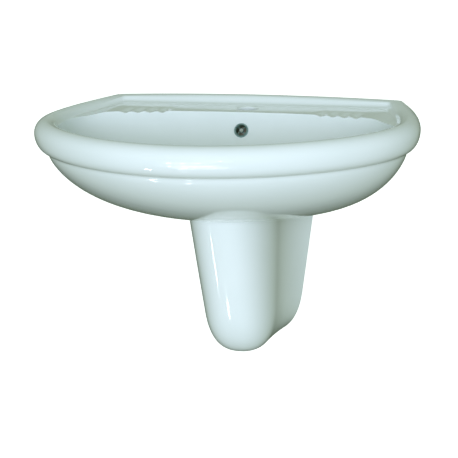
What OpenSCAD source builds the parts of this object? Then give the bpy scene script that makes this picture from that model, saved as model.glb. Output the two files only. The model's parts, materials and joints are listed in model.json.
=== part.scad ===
// Wall-hung washbasin with a half pedestal, its waste, its trap and its wall fixings.
// The wall is the plane y = 0 and the front faces -Y. The origin is midway between the
// basin's two wall bolts, on the wall.

/* [Basin plan] */
// Width over the rolled rim
basin_w = 650; // [560:5:760]
// Depth from the wall to the front of the rim
basin_d = 500; // [440:5:560]
// Width of the flat back against the wall
back_w = 542; // [480:2:600]
// Distance from the wall to the widest place
widest_y = 212; // [190:1:235]
// Height that the back edge arches above the rim
back_arch = 5; // [2:0.5:10]

/* [Basin section] */
// Height of the rim above the wall bolts
rim_above_bolts = 90; // [80:1:100]
// Depth from the rim to the flat under the body
body_h = 171; // [160:1:185]
// Height of the rolled rim, down to its groove
roll_h = 51; // [40:1:60]
// How far the groove lies in from the rim's edge
groove_in = 21; // [14:1:26]
// Width of the rolled rim, from its edge to its inner lip
rim_w = 37; // [32:1:46]
// Depth from the rim to the floor of the bowl
bowl_h = 150; // [140:1:156]
// Thickness of the wall that hangs against the room's wall
flange_t = 14; // [12:0.5:18]
// Thickness of the walls of the cast body
china_t = 14; // [11:0.5:16]

/* [Tap deck] */
// Depth of the deck below the rim
deck_drop = 9; // [6:0.5:14]
// Distance from the wall to the deck's front edge
deck_front = 107; // [100:1:116]
// Thickness of the upstand behind the deck, at its top
upstand_t = 12; // [8:1:18]
// Diameter of the tap hole
tap_d = 35; // [32:0.5:36]
// Distance from the wall to the tap hole
tap_y = 68; // [62:1:74]
// Number of drain grooves in each soap tray
soap_grooves = 4; // [2:1:5]
// Spacing of the drain grooves
soap_pitch = 21; // [16:1:22]

/* [Overflow] */
// Depth of the overflow hole below the rim
overflow_drop = 40; // [34:1:46]
// Diameter of the overflow hole
overflow_d = 21; // [18:0.5:24]
// Width of the overflow channel behind the bowl
channel_w = 34; // [24:1:40]

/* [Waste] */
// Distance from the wall to the waste
waste_y = 220; // [212:1:226]
// Diameter of the hole for the waste
waste_hole_d = 45; // [44:0.5:48]
// Outside diameter of the waste's threaded tube
waste_tube_d = 41.6; // [40:0.2:42]
// Diameter of the waste's flange
waste_flange_d = 63; // [60:0.5:66]
// Travel of the push plug
plug_travel = 9; // [6:0.5:10]

/* [Half pedestal] */
// Depth from the rim to the bottom of the half pedestal
pedestal_bottom = 427; // [400:1:450]
// Half pedestal's width against the wall, at its top
pedestal_wall_w = 210; // [190:1:220]
// Half pedestal's width where its nose begins, at its top
pedestal_nose_w = 147; // [140:1:160]
// Half pedestal's depth from the wall, at its top
pedestal_d = 282; // [276:1:296]
// Thickness of the half pedestal's wall
pedestal_t = 10; // [8:0.5:12]
// Gap between the half pedestal and the basin
pedestal_gap = 1.5; // [1:0.1:3]

/* [Wall fixings] */
// Spacing of the basin's wall bolts
bolt_span = 280; // [240:5:300]
// Diameter of the basin's wall bolts
bolt_d = 10; // [8:1:12]
// Length of a wall bolt inside the wall
bolt_in_wall = 60; // [40:1:80]
// Spacing of the half pedestal's wall bolts
pedestal_bolt_span = 112; // [106:1:120]
// Diameter of the half pedestal's wall bolts
pedestal_bolt_d = 8; // [6:1:10]
// Depth from the rim to the half pedestal's wall bolts
pedestal_bolt_drop = 305; // [290:1:315]

/* [Trap] */
// Outside diameter of the trap's tube
pipe_d = 32; // [30:0.5:33]
// Wall of the trap's tube
pipe_t = 1.8; // [1.5:0.1:2.5]
// Radius of the trap's bends, at the middle of the tube
bend_r = 30; // [28:0.5:31]
// Depth from the rim to the middle of the outlet pipe
outlet_drop = 192; // [190:0.5:195]
// Length of the outlet pipe inside the wall
pipe_in_wall = 50; // [30:1:70]
// Pitch of the cleaning plug's thread
cleanout_pitch = 3; // [2:0.5:4]
// Turns that free the cleaning plug
cleanout_turns = 3; // [2:1:4]

/* [Hidden] */
$fn = 64;

// Points round a ring of the basin, and the share of its half back that is straight
ring_n = 80;
back_share = 0.625;
// How far the loft stands past the wall before its back is cut flat
back_bulge = 2;
// Rings up the body, over the roll and down the bowl
body_rings = 9;
roll_rings = 8;
bowl_rings = 10;
// How much flatter than an ellipse the front is, at its sides and at its nose
front_flat_x = 0.041;
front_flat_y = 0.055;
// Exponents of the side's taper, of the bowl's back edge and of the body's profile
side_taper = 1.7;
bowl_back_power = 2.6;
body_in_power = 0.888;
body_down_power = 1.34;
// Where the body's sections shrink towards, and how small the last one is
body_pull_y = 49;
body_last = 0.284;
// Radius of the flat at the floor of the bowl, and the powers of the bowl's profile
floor_r = 31;
bowl_side_power = 0.75;
bowl_front_power = 1.2;
bowl_back_curve = 4;
bowl_down_power = 0.9;

// Small clearances: between pieces that only touch, and round a shaft that slides
touch = 0.2;
slide_fit = 0.05;

// Depth of the rim's widest place, and how far in from there its crown and its lip are
roll_widest = 22;
crown_in = 22;
lip_drop = 6;
lip_round = 3;
upstand_foot = upstand_t + 20;
half_w = basin_w / 2;
back_share_x = back_w / basin_w;
// The boss under the body that the waste is clamped to, and the flange's seat in the bowl
boss_r = waste_flange_d / 2 + 4.5;
boss_drop = body_h + 7;
recess_h = 3;
// Depth of the bowl's edge below the rim
bowl_edge = deck_drop + 5;

// The basin's wall bolts pass the china in plastic bushes
bush_hole_r = bolt_d / 2 + 4;
washer_t = 2.5;

function mix(a, b, t) = a + (b - a) * t;

// ---------- the basin's rings ----------

// Share of the half width at place u of the back, u from -1 to 1
function back_x(u) = abs(u) <= back_share
    ? back_share_x * u / back_share
    : sign(u) * (back_share_x + (1 - back_share_x)
        * sin(90 * (abs(u) - back_share) / (1 - back_share)));

// How far forward of its back a ring is at share x of its half width, from 0 to 1
function straight_back(x) = x <= back_share_x ? 0
    : 1 - pow((1 - x) / (1 - back_share_x), 1 / side_taper);
function round_back(x) = 1 - pow(max(0, 1 - pow(x, bowl_back_power)), 1 / bowl_back_power);
function back_weight(x) = let (t = min(1, max(0, (0.93 - x) / 0.12))) t * t * (3 - 2 * t);

// A ring is [half width, front, widest place, back, roundness of its back, z, z at its back]
function ring_point(i, r) = let (half_n = ring_n / 2) i < half_n
    ? let (u = 2 * i / half_n - 1, x = back_x(u), a = abs(x),
           back = (1 - r[4]) * straight_back(a) + r[4] * round_back(a),
           w = back_weight(a),
           middle = max(0, 1 - pow(x / back_share_x, 2)),
           arch = r[6] > 0 ? r[6] * (0.1 + 0.9 * middle) : r[6])
        [r[0] * x, -(r[3] + (r[2] - r[3]) * back) + (r[3] > 0 ? 0 : back_bulge * middle),
         r[5] + (arch - r[5]) * w]
    : let (t = 180 * (i - half_n) / half_n)
        [r[0] * cos(t) * (1 - front_flat_x * pow(sin(t), 2)),
         -(r[2] + (r[1] - r[2]) * sin(t) * (1 - front_flat_y * pow(cos(t), 2))), r[5]];
function ring(r) = [for (i = [ring_n - 1 : -1 : 0]) ring_point(i, r)];

// A ring of the rim, moved in from the edge
function rim_ring(inset, z, back = 0, z_back = undef) =
    [half_w - inset, basin_d - inset, widest_y, back, 0, z, is_undef(z_back) ? z : z_back];

// The body's section at s from 0, under the groove, to 1, at its base
function body_scale(s) = body_last + (1 - body_last) * pow(cos(90 * s), body_in_power);
function body_z(s) = -roll_h - (body_h - roll_h) * pow(sin(90 * s), body_down_power);
function body_ring(s) = let (k = body_scale(s), d = basin_d - groove_in)
    [(half_w - groove_in) * k, body_pull_y + (d - body_pull_y) * k,
     body_pull_y + (widest_y - body_pull_y) * k, 0, 0, body_z(s), body_z(s)];

// The bowl's section at s from 0, at its edge, to 1, at its floor
bowl_foot = waste_y - floor_r;
function bowl_back(s) = bowl_foot - (bowl_foot - deck_front) * pow(cos(90 * s), bowl_back_curve);
function bowl_z(s) = -bowl_edge - (bowl_h - bowl_edge) * pow(sin(90 * s), bowl_down_power);
function bowl_ring(s) = let (side = pow(cos(90 * s), bowl_side_power),
                             front = pow(cos(90 * s), bowl_front_power))
    [floor_r + (half_w - rim_w - lip_round - floor_r) * side,
     waste_y + floor_r + (basin_d - rim_w - lip_round - waste_y - floor_r) * front,
     waste_y + (widest_y - waste_y) * side, bowl_back(s), 1, bowl_z(s),
     s == 0 ? -deck_drop : bowl_z(s)];

function roll_under(j) = let (t = 90 * (1 - j / roll_rings))
    rim_ring(groove_in * (1 - cos(t)), -roll_widest - (roll_h - roll_widest) * sin(t));
function roll_over(j) = let (t = 90 * j / roll_rings)
    rim_ring(crown_in * (1 - cos(t)), -roll_widest * (1 - sin(t)), 0,
        -roll_widest + (roll_widest + back_arch) * j / roll_rings);

function basin_rings() = concat(
    [for (j = [body_rings : -1 : 0]) ring(body_ring(j / body_rings))],
    [for (j = [1 : roll_rings]) ring(roll_under(j))],
    [for (j = [1 : roll_rings]) ring(roll_over(j))],
    [ring(rim_ring((crown_in + rim_w) / 2, -lip_drop * 0.25, upstand_t / 2, back_arch)),
     ring(rim_ring(rim_w - lip_round, -lip_drop * 0.75, upstand_t, back_arch - 1)),
     ring(rim_ring(rim_w, -lip_drop, upstand_foot - 2 * lip_round, -deck_drop / 2)),
     ring(rim_ring(rim_w + 2, -deck_drop - 2, upstand_foot, -deck_drop))],
    [for (j = [0 : bowl_rings]) ring(bowl_ring(j / bowl_rings))]);

// A closed solid through rings that all have the same number of points
module loft(rings) {
    n = len(rings[0]);
    last = len(rings) - 1;
    polyhedron(points = [for (r = rings) each r],
        faces = concat(
            [[for (i = [0 : n - 1]) i]],
            [for (j = [0 : last - 1]) for (i = [0 : n - 1]) let (k = (i + 1) % n)
                each [[j * n + i, (j + 1) * n + i, (j + 1) * n + k],
                      [j * n + i, (j + 1) * n + k, j * n + k]]],
            [[for (i = [n - 1 : -1 : 0]) last * n + i]]),
        convexity = 8);
}

// ---------- shared shapes ----------

// Every piece is drawn with z = 0 at the rim, and stands here on the bolt line
module at_rim() { translate([0, 0, rim_above_bolts]) children(); }
module at_waste() { at_rim() translate([0, -waste_y, 0]) children(); }
// A cylinder from y = a to y = b, at x and z
module along_y(x, z, a, b, r) {
    translate([x, b, z]) rotate([90, 0, 0]) cylinder(r = r, h = b - a);
}
module ring_solid(r_out, r_in, h) {
    difference() {
        cylinder(r = r_out, h = h);
        translate([0, 0, -1]) cylinder(r = r_in, h = h + 2);
    }
}
module hex_nut(flats, r_in, h) {
    difference() {
        cylinder(r = flats / 2 / cos(30), h = h, $fn = 6);
        translate([0, 0, -1]) cylinder(r = r_in, h = h + 2);
    }
}
// The outline of a bent strip of some thickness along a path in the plane
function unit(v) = v / norm(v);
function path_side(p, i) = let (d = unit(p[min(i + 1, len(p) - 1)] - p[max(i - 1, 0)])) [-d[1], d[0]];
function strip(p, t) = concat([for (i = [0 : len(p) - 1]) p[i] + path_side(p, i) * t / 2],
    [for (i = [len(p) - 1 : -1 : 0]) p[i] - path_side(p, i) * t / 2]);
// A solid w wide whose side view is the outline, given as [y, z]
module side_view(outline, w) {
    rotate([90, 0, 90]) linear_extrude(height = w, center = true) polygon(outline);
}

// ---------- basin ----------

// The overflow's channel runs down behind the bowl and into the waste's hole, as [y, z]
channel_gap = 10;
channel_wall = 7;
channel_in = channel_wall / 2;
function behind_bowl(s, t) = [-(bowl_back(s) - t), bowl_z(s)];
channel_path = concat([[-(deck_front - china_t + 2), -overflow_drop + 15]],
    [for (s = [0.2 : 0.12 : 0.68]) behind_bowl(s, china_t + channel_in + 8 * s)],
    [[-(waste_y - floor_r - 12), -(bowl_h + channel_wall + 2)],
     [-(waste_y - waste_hole_d / 2 - 4), -(bowl_h + 2 * channel_wall)]]);

// How far round its profile, from 0 to 1, the bowl or the body is at some depth
function share_down(depth, top, bottom, power) =
    asin(pow(min(1, max(0, (depth - top) / (bottom - top))), 1 / power)) / 90;
// The hollow behind the bowl, open below, where the wall bolts and the tap's tail are
function hollow_ring(z) = let (
        s = share_down(-z, bowl_edge, bowl_h, bowl_down_power),
        b = share_down(-z, roll_h, body_h, body_down_power),
        front = min(bowl_back(s) - china_t, waste_y - boss_r - 6),
        w = (half_w - groove_in) * body_scale(b) * back_share_x - china_t - 2)
    [for (corner = [0 : 3]) for (a = [0 : 4])
        let (t = 90 * (corner + a / 4),
             x = (corner == 0 || corner == 3 ? 1 : -1) * (w - hollow_r),
             y = corner < 2 ? -flange_t - hollow_r : -front + hollow_r)
        [x + hollow_r * cos(t), y + hollow_r * sin(t), z]];
hollow_r = 16;
hollow_rings = 7;
hollow_top = deck_drop + china_t;
module hollow() {
    loft(concat([[for (p = hollow_ring(-body_h)) [p[0], p[1], -boss_drop - 1]]],
        [for (j = [hollow_rings : -1 : 0]) hollow_ring(-mix(hollow_top, body_h, j / hollow_rings))]));
}

module rotate_to_overflow() {
    translate([0, -bowl_back(overflow_s), -overflow_drop]) rotate([90 - overflow_lean, 0, 0]) children();
}
// The drain grooves of one soap tray, which fall gently towards the bowl
tray_x = 172;
tray_fall = 2;
groove_r = 6;
groove_up = 2.5;
module soap_tray(side) {
    for (i = [0 : soap_grooves - 1]) {
        x = side * (tray_x + (i - (soap_grooves - 1) / 2) * soap_pitch);
        translate([x, -upstand_foot - 24, -deck_drop + groove_up]) rotate([90 + tray_fall, 0, 0])
            cylinder(r = groove_r, h = 90, $fn = 24);
    }
}

module basin() {
    color("honeydew") at_rim() difference() {
        union() {
            difference() {
                loft(basin_rings());
                hollow();
            }
            side_view(strip(channel_path, channel_gap + 2 * channel_wall), channel_w + 2 * channel_wall);
            translate([0, -waste_y, -boss_drop]) cylinder(r = boss_r, h = boss_drop - bowl_h - 6);
        }
        side_view(strip(channel_path, channel_gap), channel_w);
        rotate_to_overflow() translate([0, 0, -china_t - 4]) cylinder(d = overflow_d, h = china_t + 30);
        rotate_to_overflow() translate([0, 0, bezel_h - bezel_t - touch])
            cylinder(r = bezel_r + touch, h = 20);
        along_y(0, -outlet_drop, -flange_t - 1, 1, rosette_r + 5);
        translate([0, -waste_y, -boss_drop - 1]) cylinder(d = waste_hole_d, h = boss_drop);
        translate([0, -waste_y, -bowl_h - recess_h]) cylinder(d = waste_flange_d + 3, h = bowl_h);
        translate([0, -tap_y, -hollow_top - 1]) cylinder(d = tap_d, h = hollow_top + 20);
        for (side = [-1, 1]) along_y(side * bolt_span / 2, -rim_above_bolts, -flange_t - 1, 1, bush_hole_r);
        for (side = [-1, 1]) soap_tray(side);
        translate([-half_w, 0, -body_h - 20]) cube([basin_w, 20, body_h + 60]);
    }
}

// ---------- half pedestal ----------

pedestal_rings = 16;
pedestal_n = 56;
// Depth of its uncut top, inside the body, and the height of its round bottom
pedestal_top = body_h - 30;
pedestal_round = 85;
nose_power = 2.3;
bottom_power = 2.8;
// Shares of its top widths that are left at its bottom
wall_taper = 0.63;
nose_taper = 0.745;
// Where the nose begins and how far it stands out from there, at the top and at the bottom
nose_y_top = 152;
nose_y_bottom = 112;
nose_out_top = pedestal_d - nose_y_top + 4;
nose_out_bottom = 74;

// The half pedestal's section at depth z below the rim, moved in by t
function pedestal_section(z, t, back) = let (
        q = (z - pedestal_top) / (pedestal_bottom - pedestal_top),
        low = max(0, min(0.995, (z - (pedestal_bottom - pedestal_round)) / (pedestal_round - t))),
        f = pow(max(0, 1 - pow(low, bottom_power)), 1 / bottom_power),
        wall_w = (mix(pedestal_wall_w / 2 + 4, pedestal_wall_w / 2 * wall_taper, q) - t) * f,
        nose_w = (mix(pedestal_nose_w / 2 + 2, pedestal_nose_w / 2 * nose_taper, q) - t) * f,
        nose_y = mix(nose_y_top, nose_y_bottom, q),
        nose = nose_y + (mix(nose_out_top, nose_out_bottom, pow(q, 1.2)) - t) * f)
    [wall_w, nose_w, nose_y, nose, back];
function pedestal_ring(z, t = 0, back = 0) = let (
        g = pedestal_section(z, t, back),
        side_n = pedestal_n / 4)
    [for (i = [0 : pedestal_n - 1]) let (
            right = i < pedestal_n / 2, j = right ? i : pedestal_n - 1 - i,
            q = j < side_n ? j / side_n : 1,
            a = j < side_n ? 0 : 90 * (j - side_n) / (pedestal_n / 2 - 0.5 - side_n),
            x = j < side_n ? g[1] + (g[0] - g[1]) * pow(1 - q, 2.2) : g[1] * pow(cos(a), 2 / nose_power),
            y = j < side_n ? mix(-g[4], g[2], q) : g[2] + (g[3] - g[2]) * pow(sin(a), 2 / nose_power))
        [right ? x : -x, -y, -z]];
// Depths of the rings, closer together towards the round bottom
function pedestal_level(j, from, to) = mix(from, to, sin(90 * j / pedestal_rings));

// A bolt's ear reaches from inside its bolt out to the side wall: its inner half, depth and height
ear_in = 15;
ear_d = 12;
ear_h = 44;
function pedestal_body(t, back) = [for (j = [0 : pedestal_rings])
    pedestal_ring(pedestal_level(j, pedestal_top, pedestal_bottom - t), t, back)];
// The inside is drawn past the open back and top
past = 5;
module pedestal_shell() {
    inside = pedestal_body(pedestal_t, past);
    difference() {
        loft(pedestal_body(0, 0));
        loft(concat([[for (p = inside[0]) p + [0, 0, past]]], inside));
        translate([0, 0, -pedestal_gap]) loft(concat(
            [for (j = [body_rings : -1 : 0]) ring(body_ring(j / body_rings))],
            [[for (p = ring(body_ring(0))) p + [0, 0, 30]]]));
        translate([0, -waste_y, -boss_drop - pedestal_gap])
            cylinder(r = boss_r + pedestal_gap, h = boss_drop);
    }
}
module half_pedestal() {
    color("honeydew") at_rim() difference() {
        union() {
            pedestal_shell();
            for (side = [0, 1]) mirror([side, 0, 0]) intersection() {
                translate([pedestal_bolt_span / 2 - ear_in, -ear_d, -pedestal_bolt_drop - ear_h / 2])
                    cube([pedestal_wall_w / 2, ear_d, ear_h]);
                loft(pedestal_body(2, 0));
            }
        }
        for (x = [-1, 1] * pedestal_bolt_span / 2)
            along_y(x, -pedestal_bolt_drop, -ear_d - 1, 1, pedestal_bolt_d / 2 + 1);
    }
}

// ---------- overflow ----------

// Where on the bowl's back the overflow is, and how far the wall leans there
overflow_s = share_down(overflow_drop, bowl_edge, bowl_h, bowl_down_power);
overflow_lean = atan2(bowl_back(overflow_s + 0.02) - bowl_back(overflow_s),
    bowl_z(overflow_s) - bowl_z(overflow_s + 0.02));
// The axis z points out of the wall, towards the middle of the bowl
module at_overflow() { at_rim() rotate_to_overflow() children(); }
sleeve_r = overflow_d / 2 - touch;
sleeve_t = 1.2;
bezel_r = overflow_d / 2 + 2;
bezel_h = 2.2;
bezel_t = 1.6;
bezel_edge = bezel_t / 2;
module overflow_ring() {
    color("darkslategray") at_overflow() rotate_extrude() polygon([
        [sleeve_r - sleeve_t, -china_t],
        [sleeve_r, -china_t],
        [sleeve_r, bezel_h - bezel_t],
        [bezel_r, bezel_h - bezel_t],
        [bezel_r, bezel_h - bezel_edge],
        [bezel_r - bezel_edge, bezel_h],
        [sleeve_r - sleeve_t + bezel_edge, bezel_h],
        [sleeve_r - sleeve_t, bezel_h - bezel_edge]]);
}

// ---------- waste ----------

// Depths below the rim, from the bowl's floor down to the end of the waste's tube
seal_t = 1;
flange_h = 2.5;
flange_under = bowl_h + recess_h - seal_t;
flange_top = flange_under - flange_h;
under_seal_h = 4;
backnut_h = 10;
// How far the lower seal reaches past the hole, and the nut past its thread
backnut_over = 8;
// The tube stands out of its nut far enough for the trap's nut
tube_out = 20;
waste_end = boss_drop + under_seal_h + backnut_h + tube_out;
tube_r = waste_tube_d / 2;
tube_t = 2.5;
tube_in = tube_r - tube_t;
mouth_in = 1.4;
// The hub across the tube, which the plug's guide screws into
hub_drop = bowl_h + 32;
hub_h = 7;
hub_t = 2.5;
spoke_t = 3;
guide_r = 5;
guide_below = 12;
guide_floor = 2;
stem_r = 3;
stem_end = hub_drop + 8;
// The slots that let the overflow's water in
slot_drop = bowl_h + 8;
slot_h = 12;
slot_w = 14;

module waste_body() {
    color("gainsboro") at_waste() {
        difference() {
            union() {
                translate([0, 0, -flange_under]) cylinder(d = waste_flange_d, h = flange_h);
                translate([0, 0, -waste_end]) cylinder(r = tube_r, h = waste_end - flange_under + 1);
            }
            translate([0, 0, -waste_end - 1]) cylinder(r = tube_in, h = waste_end);
            translate([0, 0, -flange_top - mouth_in + 0.2])
                cylinder(r1 = tube_in, r2 = tube_in + mouth_in, h = mouth_in);
            for (turn = [45, 135]) rotate(turn) translate([-tube_r - 1, -slot_w / 2, -slot_drop - slot_h])
                cube([2 * tube_r + 2, slot_w, slot_h]);
        }
        translate([0, 0, -hub_drop - hub_h]) difference() {
            union() {
                cylinder(r = guide_r + hub_t, h = hub_h);
                for (turn = [90, 210, 330]) rotate(turn) translate([0, -spoke_t / 2, 0])
                    cube([tube_in + tube_t / 2, spoke_t, hub_h - 2]);
            }
            translate([0, 0, -1]) cylinder(r = guide_r, h = hub_h + 2);
        }
    }
}
module waste_top_seal() {
    color("dimgray") at_waste() translate([0, 0, -flange_under - seal_t])
        ring_solid(waste_flange_d / 2 - 1, waste_hole_d / 2 + 0.5, seal_t);
}
module waste_bottom_seal() {
    color("dimgray") at_waste() translate([0, 0, -boss_drop - under_seal_h])
        ring_solid(waste_hole_d / 2 + backnut_over, tube_r, under_seal_h);
}
module waste_backnut() {
    color("goldenrod") at_waste() translate([0, 0, -boss_drop - under_seal_h - backnut_h])
        hex_nut(2 * (tube_r + backnut_over - 1), tube_r, backnut_h);
}
module click_guide() {
    color("white") at_waste() difference() {
        union() {
            translate([0, 0, -stem_end - guide_below])
                cylinder(r = guide_r, h = stem_end + guide_below - hub_drop);
            translate([0, 0, -hub_drop]) cylinder(r = guide_r + guide_floor, h = hub_t);
        }
        translate([0, 0, -spring_foot]) cylinder(r = stem_r + slide_fit, h = stem_end);
    }
}
// The spring fills the guide between its floor and the stem's end
spring_turns = 7;
spring_steps = 14;
spring_sides = 8;
spring_wire_r = 0.4;
spring_r = stem_r - spring_wire_r - touch;
spring_foot = stem_end + guide_below - guide_floor;
spring_h = spring_foot - stem_end - 2 * spring_wire_r - 2 * touch;
module click_spring() {
    n = spring_turns * spring_steps;
    color("silver") at_waste() translate([0, 0, -spring_foot + spring_wire_r + touch])
        loft([for (i = [0 : n]) let (a = 360 * i / spring_steps)
            [for (j = [0 : spring_sides - 1])
                let (b = 360 * j / spring_sides, r = spring_r + spring_wire_r * cos(b))
                [r * cos(a), r * sin(a), spring_h * i / n + spring_wire_r * sin(b)]]]);
}

// The plug stands closed, just clear of the flange
cap_r = waste_flange_d / 2 - 5;
cap_edge = 2;
cap_dome = 3;
plug_seal_h = 2;
plug_gap = 0.3;
cap_under = flange_top - plug_gap - plug_seal_h;
module plug_stem() {
    color("goldenrod") at_waste() {
        translate([0, 0, -stem_end]) cylinder(r = stem_r, h = stem_end - cap_under);
        translate([0, 0, -cap_under - stem_r]) cylinder(r = 2 * stem_r, h = stem_r);
    }
}
module plug_cap() {
    color("gainsboro") at_waste() translate([0, 0, -cap_under]) rotate_extrude() polygon([
        [0, 0], [cap_r - cap_edge / 2, 0], [cap_r, cap_edge / 2], [cap_r, cap_edge],
        for (t = [0 : 15 : 90]) [(cap_r - 0.6) * cos(t), cap_edge + 0.4 + cap_dome * sin(t)]]);
}
module plug_seal() {
    color("dimgray") at_waste() translate([0, 0, -cap_under - plug_seal_h])
        ring_solid(cap_r - 1.5, tube_in + mouth_in / 2, plug_seal_h);
}

// ---------- trap ----------

pipe_r = pipe_d / 2;
pipe_in = pipe_r - pipe_t;
socket_r = pipe_r + 4;
socket_h = 16;
pipe_seal_h = 3;
lip_h = 4;
// A nut starts this far up its socket, and a tube stops this far above the socket's floor
nut_up = 4;
tube_seat = 5;
socket_floor = 3;
pipe_nut_flats = 2 * socket_r + 8;
// Straight length between the U-bend and the elbow above it
trap_straight = 26;
trap_rise = trap_straight + bend_r;
u_drop = outlet_drop + trap_rise;
u_y = waste_y - 2 * bend_r;
elbow_y = u_y - bend_r;
inlet_seal_h = 2.5;
collar_h = 3;
collar_drop = waste_end + inlet_seal_h;
module at_u() { at_rim() translate([0, -u_y, -u_drop]) children(); }
module at_outlet() { at_rim() translate([0, -elbow_y, -outlet_drop]) rotate([-90, 0, 0]) children(); }
// A quarter or a half of a bent tube in the plane x = 0, from angle a over angle sweep
module bend(r, a, sweep) {
    rotate([90, 0, 90]) rotate_extrude(angle = sweep, start = a) translate([bend_r, 0]) circle(r);
}
module pipe_seal(r = pipe_r) { ring_solid(socket_r, r, pipe_seal_h); }
// A compression nut: its thread is over the socket and its lip over the tube
module eight_sided(flats, h) { cylinder(d = flats / cos(22.5), h = h, $fn = 8); }
module pipe_nut() {
    grip = socket_h + pipe_seal_h - nut_up;
    difference() {
        eight_sided(pipe_nut_flats, grip + lip_h);
        translate([0, 0, -1]) cylinder(r = socket_r, h = grip + 1);
        cylinder(r = pipe_r, h = grip + lip_h + 1);
    }
}

cleanout_r = 11;
cleanout_wall = 4;
cleanout_down = 10;
cleanout_drop = u_drop + bend_r + pipe_r + cleanout_down;
cleanout_seal_h = 2;
cleanout_gap = 0.3;
cleanout_head_h = 9;
cleanout_ribs = 12;
coin_slot = [24, 2.4, 2.5];
module trap_u_bend() {
    color("white") difference() {
        union() {
            at_rim() translate([0, -(waste_y - bend_r), -u_drop]) bend(pipe_r, 180, 180);
            at_waste() translate([0, 0, -u_drop]) cylinder(r = pipe_r, h = u_drop - collar_drop);
            at_waste() translate([0, 0, -collar_drop - collar_h]) cylinder(r = tube_r - 0.3, h = collar_h);
            at_u() cylinder(r = socket_r, h = socket_h);
            at_cleanout() cylinder(r = cleanout_r + cleanout_wall, h = 2 * cleanout_down);
        }
        at_rim() translate([0, -(waste_y - bend_r), -u_drop]) bend(pipe_in, 180, 180);
        at_waste() translate([0, 0, -u_drop]) cylinder(r = pipe_in, h = u_drop);
        at_u() cylinder(r = pipe_in, h = socket_h + 1);
        at_u() translate([0, 0, socket_floor]) cylinder(r = pipe_r, h = socket_h);
        at_cleanout() translate([0, 0, -1]) cylinder(r = cleanout_r, h = 2 * cleanout_down - 2);
    }
}
module trap_inlet_seal() {
    color("dimgray") at_waste() translate([0, 0, -collar_drop])
        ring_solid(tube_r - 0.3, pipe_in, inlet_seal_h);
}
module trap_inlet_nut() {
    h = collar_drop + collar_h + lip_h - waste_end + 0.6 * tube_out;
    color("white") at_waste() translate([0, 0, -collar_drop - collar_h - lip_h]) difference() {
        eight_sided(2 * tube_r + 8, h);
        translate([0, 0, lip_h]) cylinder(r = tube_r, h = h);
        translate([0, 0, -1]) cylinder(r = pipe_r, h = h);
    }
}
module trap_joint_nut() { color("white") at_u() translate([0, 0, nut_up]) pipe_nut(); }
module trap_joint_seal() { color("dimgray") at_u() translate([0, 0, socket_h]) pipe_seal(); }
module trap_elbow() {
    color("white") difference() {
        union() {
            at_rim() translate([0, -elbow_y, -outlet_drop - bend_r]) bend(pipe_r, 90, 90);
            at_u() translate([0, 0, tube_seat]) cylinder(r = pipe_r, h = trap_straight - tube_seat);
            at_outlet() cylinder(r = socket_r, h = socket_h);
        }
        at_rim() translate([0, -elbow_y, -outlet_drop - bend_r]) bend(pipe_in, 90, 90);
        at_u() translate([0, 0, tube_seat - 1]) cylinder(r = pipe_in, h = trap_straight - tube_seat + 1);
        at_outlet() cylinder(r = pipe_in, h = socket_h + 1);
        at_outlet() translate([0, 0, socket_floor]) cylinder(r = pipe_r, h = socket_h);
    }
}
module trap_outlet_nut() { color("white") at_outlet() translate([0, 0, nut_up]) pipe_nut(); }
module trap_outlet_seal() { color("dimgray") at_outlet() translate([0, 0, socket_h]) pipe_seal(); }
// A shallow groove at the wall's face marks how far the pipe goes in
mark_d = 0.4;
mark_w = 1;
module outlet_pipe() {
    color("white") at_outlet() difference() {
        translate([0, 0, tube_seat]) ring_solid(pipe_r, pipe_in, elbow_y - tube_seat + pipe_in_wall);
        translate([0, 0, elbow_y - mark_w]) ring_solid(pipe_r + 1, pipe_r - mark_d, mark_w);
    }
}
rosette_r = pipe_r + 14;
rosette_h = 9;
rosette_t = 1.5;
module wall_rosette() {
    color("gainsboro") at_rim() translate([0, 0, -outlet_drop]) rotate([90, 0, 0]) rotate_extrude() polygon([
        [pipe_r, 0],
        [rosette_r, 0],
        [rosette_r, rosette_t],
        [pipe_r + 2 * rosette_t + 2, rosette_h - rosette_t],
        [pipe_r + 2 * rosette_t, rosette_h],
        [pipe_r, rosette_h]]);
}
module at_cleanout() { at_rim() translate([0, -(waste_y - bend_r), -cleanout_drop]) children(); }
module cleanout_seal() {
    color("dimgray") at_cleanout() translate([0, 0, -cleanout_gap - cleanout_seal_h])
        ring_solid(cleanout_r + cleanout_wall - 1, cleanout_r, cleanout_seal_h);
}
module cleanout_plug() {
    head_r = cleanout_r + cleanout_wall;
    to_port = cleanout_head_h + cleanout_seal_h + 2 * cleanout_gap;
    color("white") at_cleanout() translate([0, 0, -to_port])
        difference() {
            union() {
                cylinder(r = head_r, h = cleanout_head_h);
                cylinder(r = cleanout_r - slide_fit, h = to_port + cleanout_turns * cleanout_pitch);
                for (i = [0 : cleanout_ribs - 1]) rotate(360 * i / cleanout_ribs) translate([head_r, 0, 0])
                    cylinder(r = 1.2, h = cleanout_head_h, $fn = 16);
            }
            translate([0, 0, coin_slot[2] / 2 - 0.5]) cube(coin_slot + [0, 0, 1], center = true);
        }
}

// ---------- wall fixings ----------

// A pair of wall bolts: span apart at a depth below the rim
module pair(span, drop) {
    for (side = [-1, 1]) at_rim() translate([side * span / 2, 0, -drop]) rotate([90, 0, 0]) children();
}
bush_flange = 3;
// Radius of a bolt's machine thread, half way down its flanks
function thread_r(d) = 0.45 * d;
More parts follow.
